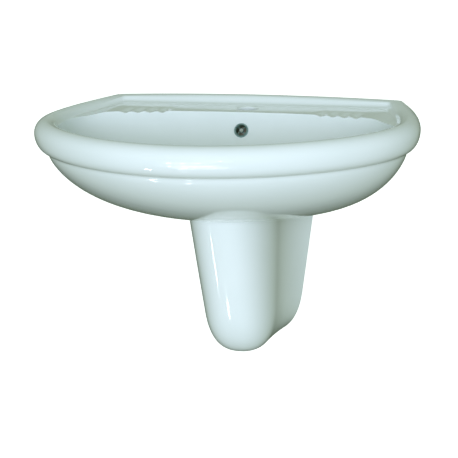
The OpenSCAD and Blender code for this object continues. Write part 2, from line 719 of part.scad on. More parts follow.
// A hanger bolt: a wood thread with a point inside the wall, a neck, and a machine thread outside
point_h = 4;
neck_h = 1;
module wall_bolt(d, outside) {
    end_r = thread_r(d);
    translate([0, 0, -bolt_in_wall]) cylinder(r1 = 1, r2 = d / 2, h = point_h);
    translate([0, 0, point_h - bolt_in_wall]) cylinder(d = d, h = bolt_in_wall - point_h);
    cylinder(r = end_r - 0.5, h = neck_h);
    translate([0, 0, neck_h]) cylinder(r = end_r, h = outside - neck_h - 1);
    translate([0, 0, outside - 1]) cylinder(r1 = end_r, r2 = end_r - 1, h = 1);
}
function nut_h(d) = 0.8 * d;
function nut_flats(d) = 1.65 * d;
// Distance from the wall to the face that each pair of nuts bears on
basin_nut_y = flange_t + bush_flange + washer_t;
pedestal_nut_y = ear_d + washer_t;
bolt_out = 5;
module basin_wall_bolts() {
    color("silver") pair(bolt_span, rim_above_bolts)
        wall_bolt(bolt_d, basin_nut_y + nut_h(bolt_d) + bolt_out);
}
module basin_bushes() {
    color("white") pair(bolt_span, rim_above_bolts) difference() {
        union() {
            translate([0, 0, 1]) cylinder(r = bush_hole_r, h = flange_t - 1);
            translate([0, 0, flange_t]) cylinder(r = bush_hole_r + 5, h = bush_flange);
        }
        cylinder(d = bolt_d, h = flange_t + bush_flange + 1);
    }
}
module basin_washers() {
    color("silver") pair(bolt_span, rim_above_bolts) translate([0, 0, flange_t + bush_flange])
        ring_solid(bolt_d + 2, bolt_d / 2, washer_t);
}
module basin_nuts() {
    color("silver") pair(bolt_span, rim_above_bolts) translate([0, 0, basin_nut_y])
        hex_nut(nut_flats(bolt_d), thread_r(bolt_d), nut_h(bolt_d));
}
module pedestal_wall_bolts() {
    color("silver") pair(pedestal_bolt_span, pedestal_bolt_drop)
        wall_bolt(pedestal_bolt_d, pedestal_nut_y + nut_h(pedestal_bolt_d) + bolt_out - 1);
}
module pedestal_washers() {
    color("white") pair(pedestal_bolt_span, pedestal_bolt_drop) translate([0, 0, ear_d])
        ring_solid(pedestal_bolt_d + 1, pedestal_bolt_d / 2, washer_t);
}
module pedestal_nuts() {
    color("silver") pair(pedestal_bolt_span, pedestal_bolt_drop) translate([0, 0, pedestal_nut_y])
        hex_nut(nut_flats(pedestal_bolt_d), thread_r(pedestal_bolt_d), nut_h(pedestal_bolt_d));
}

basin();
half_pedestal();
overflow_ring();
waste_body();
waste_top_seal();
waste_bottom_seal();
waste_backnut();
click_guide();
click_spring();
plug_stem();
plug_cap();
plug_seal();
trap_inlet_nut();
trap_inlet_seal();
trap_u_bend();
trap_joint_nut();
trap_joint_seal();
trap_elbow();
cleanout_plug();
cleanout_seal();
trap_outlet_nut();
trap_outlet_seal();
outlet_pipe();
wall_rosette();
basin_wall_bolts();
basin_bushes();
basin_washers();
basin_nuts();
pedestal_wall_bolts();
pedestal_washers();
pedestal_nuts();
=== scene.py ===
import json
import math
import bpy
import bmesh
from mathutils import Matrix, Vector
from mathutils.bvhtree import BVHTree


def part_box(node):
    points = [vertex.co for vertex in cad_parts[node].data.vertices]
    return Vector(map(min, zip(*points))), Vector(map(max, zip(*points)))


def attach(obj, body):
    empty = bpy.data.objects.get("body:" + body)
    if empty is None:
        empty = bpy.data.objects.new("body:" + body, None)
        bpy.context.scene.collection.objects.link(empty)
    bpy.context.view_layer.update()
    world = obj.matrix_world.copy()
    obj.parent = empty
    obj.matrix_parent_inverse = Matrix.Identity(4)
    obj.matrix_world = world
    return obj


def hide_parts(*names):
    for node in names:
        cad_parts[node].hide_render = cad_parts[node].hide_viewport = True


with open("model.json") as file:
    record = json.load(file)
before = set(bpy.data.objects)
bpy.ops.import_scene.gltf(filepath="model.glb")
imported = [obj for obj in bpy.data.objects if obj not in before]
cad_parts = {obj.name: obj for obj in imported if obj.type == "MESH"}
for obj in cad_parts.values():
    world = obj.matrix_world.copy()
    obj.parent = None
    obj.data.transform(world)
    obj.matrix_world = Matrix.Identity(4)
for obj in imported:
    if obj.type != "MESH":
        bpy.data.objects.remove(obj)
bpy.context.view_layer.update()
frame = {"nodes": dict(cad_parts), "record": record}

basinLow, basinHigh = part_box("basin")
mm = 0.001
facing = Matrix.Rotation(math.pi / 2, 4, "X")  # z points out of the wall
inward = Matrix.Rotation(-math.pi / 2, 4, "X")  # z points into the wall

# the basin's sizes in millimetres; depths are measured down from the rim's crown
basinSettings = {
    "halfWidth": basinHigh[0] / mm, "front": -basinLow[1] / mm, "widestY": 212, "backShare": 0.8338,
    "straightShare": 0.625, "backArch": 5, "backBulge": 2, "archEnd": 0.93, "archFade": 0.12,
    "rollWidest": 22, "crownIn": 22, "grooveIn": 21, "rollHeight": 51, "rimWidth": 37,
    "bodyDepth": 171, "bodyPullY": 49, "bodyLast": 0.284, "bodyInPower": 0.888, "bodyDownPower": 1.34,
    "sideTaper": 1.7, "frontFlatX": 0.041, "frontFlatY": 0.055,
    "deckDrop": 9, "deckFront": 107, "upstandTop": 12, "upstandFoot": 32,
    "bowlEdge": 14, "bowlDepth": 150, "floorRadius": 31, "wasteY": 220, "bowlSidePower": 0.75,
    "bowlFrontPower": 1.2, "bowlBackCurve": 4, "bowlBackPower": 2.6, "bowlDownPower": 0.9, "bowlCrowd": 1.25,
    "aroundBack": 216, "aroundFront": 136, "bodySteps": 26, "rollSteps": 18, "deckSteps": 26, "bowlSteps": 44,
    "trayCentre": 172, "trayPitch": 21, "trayHalf": 46, "trayDepth": 3.4, "trayFade": 12, "trayBehind": 46,
    "trayAhead": 34, "trayLow": 34, "trayFall": 18, "trayPlain": 0.25, "traySharp": 1.3,
    "tapY": 68, "tapRadius": 17.5, "tapRound": 2.6, "bossRadius": 36, "bossDepth": 178,
    "wasteRadius": 22.5, "recessRadius": 33, "recessDepth": 3, "flange": 14, "wall": 14,
    "hollowRound": 16, "hollowRows": 15, "overflowDepth": 40, "overflowRadius": 10.5,
    "boltX": 140, "boltHole": 9, "archRadius": 35, "archDepth": 192}
rimZ = basinHigh[2] / mm - basinSettings["backArch"]  # height of the rim's crown above the wall bolts
atWaste = Matrix.Translation((0, -basinSettings["wasteY"], 0))


def srgb(code):
    # turns an sRGB hex value to the linear colour that a shader takes
    parts = [int(code[i:i + 2], 16) / 255 for i in (1, 3, 5)]
    return tuple(p / 12.92 if p <= 0.04045 else ((p + 0.055) / 1.055) ** 2.4 for p in parts) + (1,)


def addNode(tree, kind, settings=None, links=None):
    # adds one node: settings go to its properties or inputs, links join its inputs to outputs
    node = tree.nodes.new(kind)
    for key, value in (settings or {}).items():
        if hasattr(node, key):
            setattr(node, key, value)
        else:
            node.inputs[key].default_value = value
    for key, output in (links or {}).items():
        tree.links.new(output, node.inputs[key])
    return node


def newMaterial(name):
    # gives the empty material, its tree and the place on the piece that every pattern starts from
    material = bpy.data.materials.new(name)
    material.use_nodes = True
    tree = material.node_tree
    tree.nodes.clear()
    return material, tree, addNode(tree, "ShaderNodeTexCoord").outputs["Object"]


def finishMaterial(material, shader):
    addNode(material.node_tree, "ShaderNodeOutputMaterial", {}, {"Surface": shader.outputs[0]})
    return material


def glazedChina():
    # vitreous china under a poured glaze: a hard wet gloss, slightly greener in pools some 110 mm wide,
    # and reflections that wobble over about 26 mm, with a fine peel of about 2 mm
    material, tree, place = newMaterial("glazedVitreousChina")
    pool = addNode(tree, "ShaderNodeTexNoise", {"Scale": 9.0, "Detail": 2.0, "Roughness": 0.45},
                   {"Vector": place})
    tint = addNode(tree, "ShaderNodeMix", {"data_type": "RGBA", "clamp_factor": True},
                   {"Factor": pool.outputs["Fac"]})
    tint.inputs[6].default_value = srgb("#e2ebe8")
    tint.inputs[7].default_value = srgb("#e9f0ee")
    wave = addNode(tree, "ShaderNodeTexNoise", {"Scale": 38.0, "Detail": 1.5, "Roughness": 0.4},
                   {"Vector": place})
    peel = addNode(tree, "ShaderNodeTexNoise", {"Scale": 420.0, "Detail": 1.0, "Roughness": 0.5},
                   {"Vector": place})
    slow = addNode(tree, "ShaderNodeBump", {"Strength": 0.12, "Distance": 0.0012},
                   {"Height": wave.outputs["Fac"]})
    fine = addNode(tree, "ShaderNodeBump", {"Strength": 0.05, "Distance": 0.0002},
                   {"Height": peel.outputs["Fac"], "Normal": slow.outputs["Normal"]})
    rough = addNode(tree, "ShaderNodeMapRange", {"To Min": 0.06, "To Max": 0.11},
                    {"Value": pool.outputs["Fac"]})
    shader = addNode(tree, "ShaderNodeBsdfPrincipled",
                     {"IOR": 1.55, "Coat Weight": 0.5, "Coat Roughness": 0.04, "Coat IOR": 1.5},
                     {"Base Color": tint.outputs[2], "Roughness": rough.outputs["Result"],
                      "Normal": fine.outputs["Normal"]})
    return finishMaterial(material, shader)


def firedBisque():
    # unglazed fired clay where the casting is ground flat or cut: chalky, with a grit of about 1 mm
    material, tree, place = newMaterial("unglazedFiredClay")
    grit = addNode(tree, "ShaderNodeTexNoise", {"Scale": 900.0, "Detail": 4.0}, {"Vector": place})
    cloud = addNode(tree, "ShaderNodeTexNoise", {"Scale": 22.0, "Detail": 3.0}, {"Vector": place})
    ramp = addNode(tree, "ShaderNodeValToRGB", {}, {"Fac": cloud.outputs["Fac"]})
    ramp.color_ramp.elements[0].position = 0.3
    ramp.color_ramp.elements[0].color = srgb("#cfc9bc")
    ramp.color_ramp.elements[1].position = 0.72
    ramp.color_ramp.elements[1].color = srgb("#e2ddd2")
    bump = addNode(tree, "ShaderNodeBump", {"Strength": 0.35, "Distance": 0.0003},
                   {"Height": grit.outputs["Fac"]})
    shader = addNode(tree, "ShaderNodeBsdfPrincipled", {"Roughness": 0.85, "IOR": 1.5},
                     {"Base Color": ramp.outputs["Color"], "Normal": bump.outputs["Normal"]})
    return finishMaterial(material, shader)


def metalFinish(name, light, dark, roughLow, roughHigh, grainScale, stretch, strength):
    # a metal whose colour and gloss drift along its grain; a scale of 200 is a grain of 5 mm, which is
    # coarser than the real one, so that it shows
    material, tree, place = newMaterial(name)
    turned = addNode(tree, "ShaderNodeMapping", {}, {"Vector": place})
    turned.inputs["Scale"].default_value = stretch
    grain = addNode(tree, "ShaderNodeTexNoise", {"Scale": grainScale, "Detail": 3.0},
                    {"Vector": turned.outputs["Vector"]})
    colour = addNode(tree, "ShaderNodeValToRGB", {}, {"Fac": grain.outputs["Fac"]})
    colour.color_ramp.elements[0].color = srgb(dark)
    colour.color_ramp.elements[1].color = srgb(light)
    rough = addNode(tree, "ShaderNodeMapRange", {"To Min": roughLow, "To Max": roughHigh},
                    {"Value": grain.outputs["Fac"]})
    bump = addNode(tree, "ShaderNodeBump", {"Strength": strength, "Distance": 0.0002},
                   {"Height": grain.outputs["Fac"]})
    shader = addNode(tree, "ShaderNodeBsdfPrincipled", {"Metallic": 1.0},
                     {"Base Color": colour.outputs["Color"], "Roughness": rough.outputs["Result"],
                      "Normal": bump.outputs["Normal"]})
    return finishMaterial(material, shader)


def mouldedFinish(name, light, dark, rough, grainScale, strength):
    # a moulded plastic or rubber: colour that clouds over some 30 mm, and a faint grain from the mould
    material, tree, place = newMaterial(name)
    cloud = addNode(tree, "ShaderNodeTexNoise", {"Scale": 30.0, "Detail": 2.0}, {"Vector": place})
    grain = addNode(tree, "ShaderNodeTexNoise", {"Scale": grainScale, "Detail": 2.0}, {"Vector": place})
    colour = addNode(tree, "ShaderNodeValToRGB", {}, {"Fac": cloud.outputs["Fac"]})
    colour.color_ramp.elements[0].color = srgb(dark)
    colour.color_ramp.elements[1].color = srgb(light)
    bump = addNode(tree, "ShaderNodeBump", {"Strength": strength, "Distance": 0.0002},
                   {"Height": grain.outputs["Fac"]})
    gloss = addNode(tree, "ShaderNodeMapRange", {"To Min": rough - 0.05, "To Max": rough + 0.05},
                    {"Value": grain.outputs["Fac"]})
    shader = addNode(tree, "ShaderNodeBsdfPrincipled", {"IOR": 1.5},
                     {"Base Color": colour.outputs["Color"], "Roughness": gloss.outputs["Result"],
                      "Normal": bump.outputs["Normal"]})
    return finishMaterial(material, shader)


def floorPaint(glow):
    # matte white paint: no gloss, and a faint glow that keeps it as pale as the backdrop
    material, tree, place = newMaterial("matteStudioFloor")
    cloud = addNode(tree, "ShaderNodeTexNoise", {"Scale": 1.5, "Detail": 2.0}, {"Vector": place})
    colour = addNode(tree, "ShaderNodeMix", {"data_type": "RGBA"}, {"Factor": cloud.outputs["Fac"]})
    colour.inputs[6].default_value = srgb("#f9f9f9")
    colour.inputs[7].default_value = srgb("#fcfcfc")
    shader = addNode(tree, "ShaderNodeBsdfPrincipled", {"Roughness": 0.9, "Emission Strength": glow},
                     {"Base Color": colour.outputs[2]})
    shader.inputs["Emission Color"].default_value = srgb("#fbfcfc")
    return finishMaterial(material, shader)


china = glazedChina()
bisque = firedBisque()
# polished plate: sharp mirror images, cold and bright
chrome = metalFinish("chromePlatedBrass", "#d9dde0", "#c6cbcf", 0.05, 0.11, 60.0, (1, 1, 1), 0.02)
# plate with a painted reflection: its teal colour and dark tone stand in for the dim greenish room mirrored in
# it, and its images are blurred, so that the ring stands out dark on the pale bowl
reflectionTintedChrome = metalFinish("reflectionTintedChromePlate", "#bcd3d5", "#6b8f93", 0.22, 0.38, 260.0, (1, 1, 1), 0.12)
# brass as it leaves the lathe: yellow, with fine turning marks around its axis
brass = metalFinish("turnedBrass", "#cda75c", "#b48d45", 0.22, 0.34, 180.0, (1, 1, 12), 0.1)
# plated steel: grey, with a satin sheen and a slight mottle
zinc = metalFinish("zincPlatedSteel", "#b9bdc0", "#9fa4a8", 0.28, 0.42, 220.0, (1, 1, 1), 0.12)
# moulded rubber: near black, with a dull skin
rubber = mouldedFinish("mouldedNitrileRubber", "#262626", "#1b1b1b", 0.62, 700.0, 0.2)
# injection-moulded plastics: a soft waxy gloss on the white trap, a flatter one on the grey bushes
whitePlastic = mouldedFinish("mouldedWhitePolypropylene", "#eceae4", "#e4e2db", 0.33, 500.0, 0.06)
greyPlastic = mouldedFinish("mouldedGreyNylon", "#c3c5c6", "#b6b8ba", 0.5, 500.0, 0.1)
# the finish of each slot; a second material is on the faces that a cut left bare
finishes = {"vitreous_china": [china, bisque], "chrome": [chrome], "brass": [brass], "rubber": [rubber],
            "grey_plastic": [greyPlastic], "white_plastic": [whitePlastic], "spring_steel": [zinc],
            "zinc_steel": [zinc]}
print("materials ready")


def mix(a, b, t):
    return a + (b - a) * t


def smooth(t):
    t = min(1, max(0, t))
    return t * t * (3 - 2 * t)


def ringPlace(i, ring):
    # the basin is skinned over rings, each with its half width, front, widest y, back, roundness of the back,
    # height and height at the back
    b = basinSettings
    halfW, front, widest, back, roundness, z, zBack = ring
    if i < b["aroundBack"]:
        u = 2 * i / b["aroundBack"] - 1
        straight = b["straightShare"]  # share of the points that lie on the straight part of the back
        x = b["backShare"] * u / straight
        if abs(u) > straight:
            turn = math.radians(90 * (abs(u) - straight) / (1 - straight))
            x = math.copysign(b["backShare"] + (1 - b["backShare"]) * math.sin(turn), u)
        a = min(1, abs(x))
        taper = 0 if a <= b["backShare"] else 1 - ((1 - a) / (1 - b["backShare"])) ** (1 / b["sideTaper"])
        curve = 1 - max(0, 1 - a ** b["bowlBackPower"]) ** (1 / b["bowlBackPower"])
        y = back + (widest - back) * mix(taper, curve, roundness)
        if back <= 0:
            y -= b["backBulge"] * max(0, 1 - (x / b["backShare"]) ** 2)
        arch = max(0, 1 - (x / b["backShare"]) ** 2 * 0.9) if zBack > 0 else 1
        return Vector((halfW * x, -y, z + (zBack * arch - z) * smooth((b["archEnd"] - a) / b["archFade"])))
    t = math.pi * (i - b["aroundBack"]) / b["aroundFront"]
    x = halfW * math.cos(t) * (1 - b["frontFlatX"] * math.sin(t) ** 2)
    y = widest + (front - widest) * math.sin(t) * (1 - b["frontFlatY"] * math.cos(t) ** 2)
    return Vector((x, -y, z))


def rimRing(inset, z, back=0, zBack=None):
    b = basinSettings
    return (b["halfWidth"] - inset, b["front"] - inset, b["widestY"], back, 0, z, z if zBack is None else zBack)


def bodyRing(s):
    b = basinSettings
    c, d = math.cos(math.pi / 2 * s), math.sin(math.pi / 2 * s)
    k = b["bodyLast"] + (1 - b["bodyLast"]) * max(0, c) ** b["bodyInPower"]
    z = -b["rollHeight"] - (b["bodyDepth"] - b["rollHeight"]) * d ** b["bodyDownPower"]
    pull = b["bodyPullY"]
    return ((b["halfWidth"] - b["grooveIn"]) * k, pull + (b["front"] - b["grooveIn"] - pull) * k,
            pull + (b["widestY"] - pull) * k, 0, 0, z, z)


def shareAt(depth, start, end, power):
    # how far along a profile a depth is reached, from 0 at its start to 1 at its end
    return math.asin(min(1, (max(0, depth - start) / (end - start)) ** (1 / power))) / (math.pi / 2)


def bowlBack(s):
    b = basinSettings
    rear = b["wasteY"] - b["floorRadius"]
    return rear - (rear - b["deckFront"]) * math.cos(math.pi / 2 * s) ** b["bowlBackCurve"]


def bowlZ(s):
    b = basinSettings
    return -b["bowlEdge"] - (b["bowlDepth"] - b["bowlEdge"]) * math.sin(math.pi / 2 * s) ** b["bowlDownPower"]


def bowlRing(s):
    b = basinSettings
    c = max(0, math.cos(math.pi / 2 * s))
    side, front = c ** b["bowlSidePower"], c ** b["bowlFrontPower"]
    r, inset = b["floorRadius"], b["rimWidth"] + 3
    zBack = mix(-b["deckDrop"], bowlZ(s), smooth(s / 0.06))
    return (r + (b["halfWidth"] - inset - r) * side,
            b["wasteY"] + r + (b["front"] - inset - b["wasteY"] - r) * front,
            mix(b["wasteY"], b["widestY"], side), bowlBack(s), 1, bowlZ(s), zBack)


def blendRings(rings, steps):
    # runs a smooth curve through a few rings, as a spline through their sizes
    out = []
    for k in range(len(rings) - 1):
        near = [rings[min(len(rings) - 1, max(0, k + n))] for n in (-1, 0, 1, 2)]
        for n in range(steps):
            t = n / steps
            out.append(tuple(0.5 * (2 * b + (c - a) * t + (2 * a - 5 * b + 4 * c - d) * t * t
                                    + (3 * b - a - 3 * c + d) * t ** 3) for a, b, c, d in zip(*near)))
    return out


def basinRings():
    b = basinSettings
    body = [bodyRing(j / b["bodySteps"]) for j in range(b["bodySteps"], 1, -1)]
    under = []
    for j in range(b["rollSteps"] + 1):
        t = math.pi / 2 * (1 - j / b["rollSteps"])
        under.append(rimRing(b["grooveIn"] * (1 - math.cos(t)),
                             -b["rollWidest"] - (b["rollHeight"] - b["rollWidest"]) * math.sin(t)))
    low, high, corner = body[-1], under[2], under[0]
    fillet = []
    for k in range(1, 7):  # the groove under the roll is a small round hollow
        t = k / 7
        fillet.append(tuple((1 - t) ** 2 * p + 2 * t * (1 - t) * q + t * t * r
                            for p, q, r in zip(low, corner, high)))
    over = []
    for j in range(1, b["rollSteps"] + 1):
        t = math.pi / 2 * j / b["rollSteps"]
        over.append(rimRing(b["crownIn"] * (1 - math.cos(t)), -b["rollWidest"] * (1 - math.sin(t)), 0,
                            -b["rollWidest"] + (b["rollWidest"] + b["backArch"]) * j / b["rollSteps"]))
    lip, top, foot, drop, arch = b["rimWidth"], b["upstandTop"], b["upstandFoot"], b["deckDrop"], b["backArch"]
    # over the lip and down to the deck: width of the rim, level, distance from the wall, level at the wall
    crown = [over[-1],
             rimRing(lip - 8, -1.6, top * 0.5, arch), rimRing(lip - 4, -3.6, top, arch - 0.8),
             rimRing(lip - 1.5, -5.6, top + 5, arch - 4), rimRing(lip, -8, top + 12, -drop + 3),
             rimRing(lip + 1.5, -11, foot, -drop + 0.4)]
    edge = bowlRing(0)
    deckStart = rimRing(lip + 2, -12.3, foot + 8, -drop)
    deck = []
    for j in range(b["deckSteps"] + 1):
        t = j / b["deckSteps"]
        deck.append(tuple(mix(p, q, t) for p, q in zip(deckStart, edge)))
    bowl = [bowlRing((j / b["bowlSteps"]) ** b["bowlCrowd"]) for j in range(1, b["bowlSteps"] + 1)]
    return body + fillet + under[2:] + over[:-1] + blendRings(crown + [deckStart], 4)[:-4] + deck + bowl


def cutSoapTrays(point):
    # lowers a point where the soap trays' grooves run over the deck's front edge into the bowl
    b = basinSettings
    x, y, z = point
    a = abs(x) / (b["halfWidth"] - b["rimWidth"] - 3)
    if z > b["backArch"] - 6 or z < -40 or a > 1:
        return point
    edgeY = -(b["deckFront"] + (b["widestY"] - b["deckFront"])
              * (1 - max(0, 1 - a ** b["bowlBackPower"]) ** (1 / b["bowlBackPower"])))
    ahead = y - edgeY  # distance behind the deck's front edge
    if ahead > 60 or ahead < -30:
        return point
    across = smooth((b["trayHalf"] - abs(abs(x) - b["trayCentre"])) / b["trayFade"])
    along = smooth((b["trayBehind"] - ahead) / b["trayAhead"]) * smooth((z + b["trayLow"]) / b["trayFall"])
    wave = 0.5 + 0.5 * math.cos(2 * math.pi * (abs(x) - b["trayCentre"] - b["trayPitch"] / 2) / b["trayPitch"])
    groove = mix(b["trayPlain"], 1, wave ** b["traySharp"])
    return Vector((x, y, z - b["trayDepth"] * across * along * groove))


def surfaceFromGrid(columns, rows, place, closed):
    # a grid whose points are carried to their places; a closed one is welded along its seam
    bm = bmesh.new()
    bmesh.ops.create_grid(bm, x_segments=columns, y_segments=rows, size=1)
    for vert in bm.verts:
        i = round((vert.co.x + 1) / 2 * columns)
        j = round((vert.co.y + 1) / 2 * rows)
        vert.co = place(i % columns if closed else i, j)
    bmesh.ops.remove_doubles(bm, verts=bm.verts, dist=1e-3)
    return bm


def closeEnds(bm):
    bmesh.ops.holes_fill(bm, edges=[e for e in bm.edges if e.is_boundary], sides=0)
    bmesh.ops.recalc_face_normals(bm, faces=bm.faces)
    return bm


def spunShape(profile, steps, slotIndex=0):
    # turns a profile of (radius, height) about z; it makes a ring, or a solid if it ends on the axis
    bm = bmesh.new()
    verts = [bm.verts.new((r, 0, z)) for r, z in profile]
    edges = [bm.edges.new(pair) for pair in zip(verts, verts[1:])]
    if profile[0][0] > 0 or profile[-1][0] > 0:
        edges.append(bm.edges.new((verts[-1], verts[0])))
    bmesh.ops.spin(bm, geom=verts + edges, cent=(0, 0, 0), axis=(0, 0, 1), angle=2 * math.pi, steps=steps,
                   use_merge=True, use_duplicate=False)
    bmesh.ops.remove_doubles(bm, verts=bm.verts, dist=1e-4)
    bmesh.ops.recalc_face_normals(bm, faces=bm.faces)
    for face in bm.faces:
        face.material_index = slotIndex
    return bm


def rodShape(radius, low, high, steps, slotIndex=0):
    return spunShape([(0, low), (radius, low), (radius, high), (0, high)], steps, slotIndex)


def moved(bm, matrix):
    bmesh.ops.transform(bm, matrix=matrix, verts=bm.verts)
    return bm


def blockShape(size, edge, steps, along=None):
    # a block with its edges rounded off, or only those that run along one axis
    bm = bmesh.new()
    bmesh.ops.create_cube(bm, size=1)
    moved(bm, Matrix.Diagonal((*size, 1)))
    edges = [e for e in bm.edges if along is None or abs(e.verts[0].co[along] - e.verts[1].co[along]) > 1]
    bmesh.ops.bevel(bm, geom=edges, offset=edge, segments=steps, profile=0.5, affect="EDGES", material=-1)
    return bm


def meshFrom(name, bm):
    mesh = bpy.data.meshes.new(name)
    bm.to_mesh(mesh)
    bm.free()
    return mesh


def addObject(name, data):
    obj = bpy.data.objects.new(name, data)
    bpy.context.collection.objects.link(obj)
    return obj


def joined(shapes):
    # puts several shapes in one bmesh
    out = bmesh.new()
    for shape in shapes:
        mesh = meshFrom("part", shape)
        out.from_mesh(mesh)
        bpy.data.meshes.remove(mesh)
    return out


def combine(bm, tool, operation):
    # cuts the tool from the shape or adds it, and gives the result back
    meshes = [meshFrom("work", bm), meshFrom("tool", tool)]
    work, cutter = [addObject(mesh.name, mesh) for mesh in meshes]
    for mesh in meshes:
        for slotNumber in (0, 1):  # empty slots, so that each face keeps its finish through the cut
            mesh.materials.append(None)
    change = work.modifiers.new("change", "BOOLEAN")
    change.object, change.operation, change.solver = cutter, operation, "EXACT"
    result = bpy.data.meshes.new_from_object(work.evaluated_get(bpy.context.evaluated_depsgraph_get()))
    out = bmesh.new()
    out.from_mesh(result)
    for obj in (work, cutter):
        bpy.data.objects.remove(obj)
    for mesh in meshes + [result]:
        bpy.data.meshes.remove(mesh)
    return out


def newPiece(name, bm, slot, node, body="fixture", materials=None):
    # makes the object that replaces a node: millimetres below the rim turn to metres from the wall bolts
    mesh = meshFrom(name, moved(bm, Matrix.Scale(mm, 4) @ Matrix.Translation((0, 0, rimZ))))
    piece = addObject(name, mesh)
    for material in materials or finishes[slot]:
        mesh.materials.append(material)
    mesh.shade_smooth()
    mesh.set_sharp_from_angle(angle=math.radians(38))  # a bend past this stays a crisp edge
    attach(piece, body)
    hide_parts(node)
    return piece


def basinHollow():
    # the space behind the bowl, open below, in which the wall bolts and the tap's tail are
    b = basinSettings
    corner = 7  # points on each of the four rounded corners

    def place(i, j):
        z = mix(-b["bodyDepth"], -b["deckDrop"] - b["wall"], j / b["hollowRows"])
        s = shareAt(-z, b["bowlEdge"], b["bowlDepth"], b["bowlDownPower"])
        q = shareAt(-z, b["rollHeight"], b["bodyDepth"], b["bodyDownPower"])
        k = bodyRing(q)[0]
        front = min(bowlBack(s) - b["wall"], b["wasteY"] - b["bossRadius"] - 6)
        w = k * b["backShare"] - b["wall"] - 2
        r = b["hollowRound"]
        turn, step = divmod(i, corner)
        angle = math.radians(90 * turn + 90 * step / (corner - 1))
        cx = (w - r) * (1 if turn in (0, 3) else -1)
        cy = -b["flange"] - r if turn < 2 else -front + r
        low = -b["bossDepth"] - 30  # clear of the casting's underside
        return Vector((cx + r * math.cos(angle), cy + r * math.sin(angle), z if j else low))

    bm = closeEnds(surfaceFromGrid(4 * corner, b["hollowRows"], place, True))
    for face in bm.faces:
        face.material_index = 1
    return bm


def overflowPlace():
    # the frame of the overflow: z points out of the bowl's back wall
    b = basinSettings
    s = shareAt(b["overflowDepth"], b["bowlEdge"], b["bowlDepth"], b["bowlDownPower"])
    lean = math.atan2(bowlBack(s + 0.02) - bowlBack(s), bowlZ(s) - bowlZ(s + 0.02))
    hole = Matrix.Translation((0, -bowlBack(s), -b["overflowDepth"]))
    return hole @ Matrix.Rotation(math.pi / 2 - lean, 4, "X")


def basinCutters():
    # the holes through the basin; each cutter runs well past the china
    b = basinSettings
    r, f = b["tapRadius"], b["tapRound"]
    lip = [(r + f - f * math.sin(a), -b["deckDrop"] - f + f * math.cos(a))
           for a in (math.radians(90 - 11.25 * k) for k in range(9))]
    tap = moved(spunShape([(0, -60), (r, -60)] + lip + [(r + f, 12), (0, 12)], 96),
                Matrix.Translation((0, -b["tapY"], 0)))
    w, q = b["wasteRadius"], b["recessRadius"]
    floor = -b["bowlDepth"]
    seat = floor - b["recessDepth"]
    waste = moved(spunShape([(0, -230), (w, -230), (w, seat), (q, seat), (q, floor - 1.2),
                             (q + 0.5, floor - 0.4), (q + 1.4, floor + 0.05), (q + 1.4, floor + 4),
                             (0, floor + 4)], 96), atWaste)
    shapes = [tap, waste, moved(rodShape(b["overflowRadius"], -26, 12, 64), overflowPlace())]
    # holes from the wall: the two bolts' and the half arch over the outlet pipe
    for x, depth, radius, steps in ((-b["boltX"], rimZ, b["boltHole"], 48),
                                    (b["boltX"], rimZ, b["boltHole"], 48),
                                    (0, b["archDepth"], b["archRadius"], 72)):
        hole = rodShape(radius, -9, 20, steps, 1)
        shapes.append(moved(hole, Matrix.Translation((x, 0, -depth)) @ facing))
    return joined(shapes)


def wallCut():
    # the casting is ground flat where it meets the wall; this block behind it is wider and taller than it
    bm = bmesh.new()
    bmesh.ops.create_cube(bm, size=1)
    moved(bm, Matrix.Translation((0, 50, -60)) @ Matrix.Diagonal((900, 100, 500, 1)))
    for face in bm.faces:
        face.material_index = 1
    return bm


def makeBasin():
    b = basinSettings
    rings = basinRings()
    bm = surfaceFromGrid(b["aroundBack"] + b["aroundFront"], len(rings) - 1,
                         lambda i, j: cutSoapTrays(ringPlace(i, rings[j])), True)
    bm = closeEnds(bm)
    outside = BVHTree.FromBMesh(bm)
    bm = combine(bm, basinHollow(), "DIFFERENCE")
    boss = moved(spunShape([(0, -b["bossDepth"]), (b["bossRadius"] - 2, -b["bossDepth"]),
                            (b["bossRadius"], -b["bossDepth"] + 2), (b["bossRadius"], -b["bowlDepth"] - 6),
                            (0, -b["bowlDepth"] - 6)], 96), atWaste)
    bm = combine(bm, boss, "UNION")
    bm = combine(bm, wallCut(), "DIFFERENCE")
    bm = combine(bm, basinCutters(), "DIFFERENCE")
    return newPiece("basinCasting", bm, "vitreous_china", "basin"), outside


basin, basinOutside = makeBasin()
print("basin made", len(basin.data.polygons))


# the half pedestal: its half widths at the wall and at the nose, and where the nose starts and how long it is
pedestalSettings = {
    "top": 141, "bottom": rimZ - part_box("half_pedestal")[0][2] / mm, "round": 85,
    "wallTop": 109, "wallLow": 66.2, "noseTop": 75.5, "noseLow": 54.8, "noseStartTop": 152,
    "noseStartLow": 112, "noseTopLength": 134, "noseLowLength": 74, "nosePower": 2.3, "noseShrink": 1.2,
    "flankCurve": 2.2, "bottomPower": 2.8, "thick": 10, "gap": 1.2, "searchFrom": 230, "searchStep": 2,
    "rows": 96, "columns": 120, "boltX": 56, "boltDepth": 305, "boltHole": 5,
    "earWidth": 34, "earHeight": 44, "earDepth": 12, "earOut": 2}


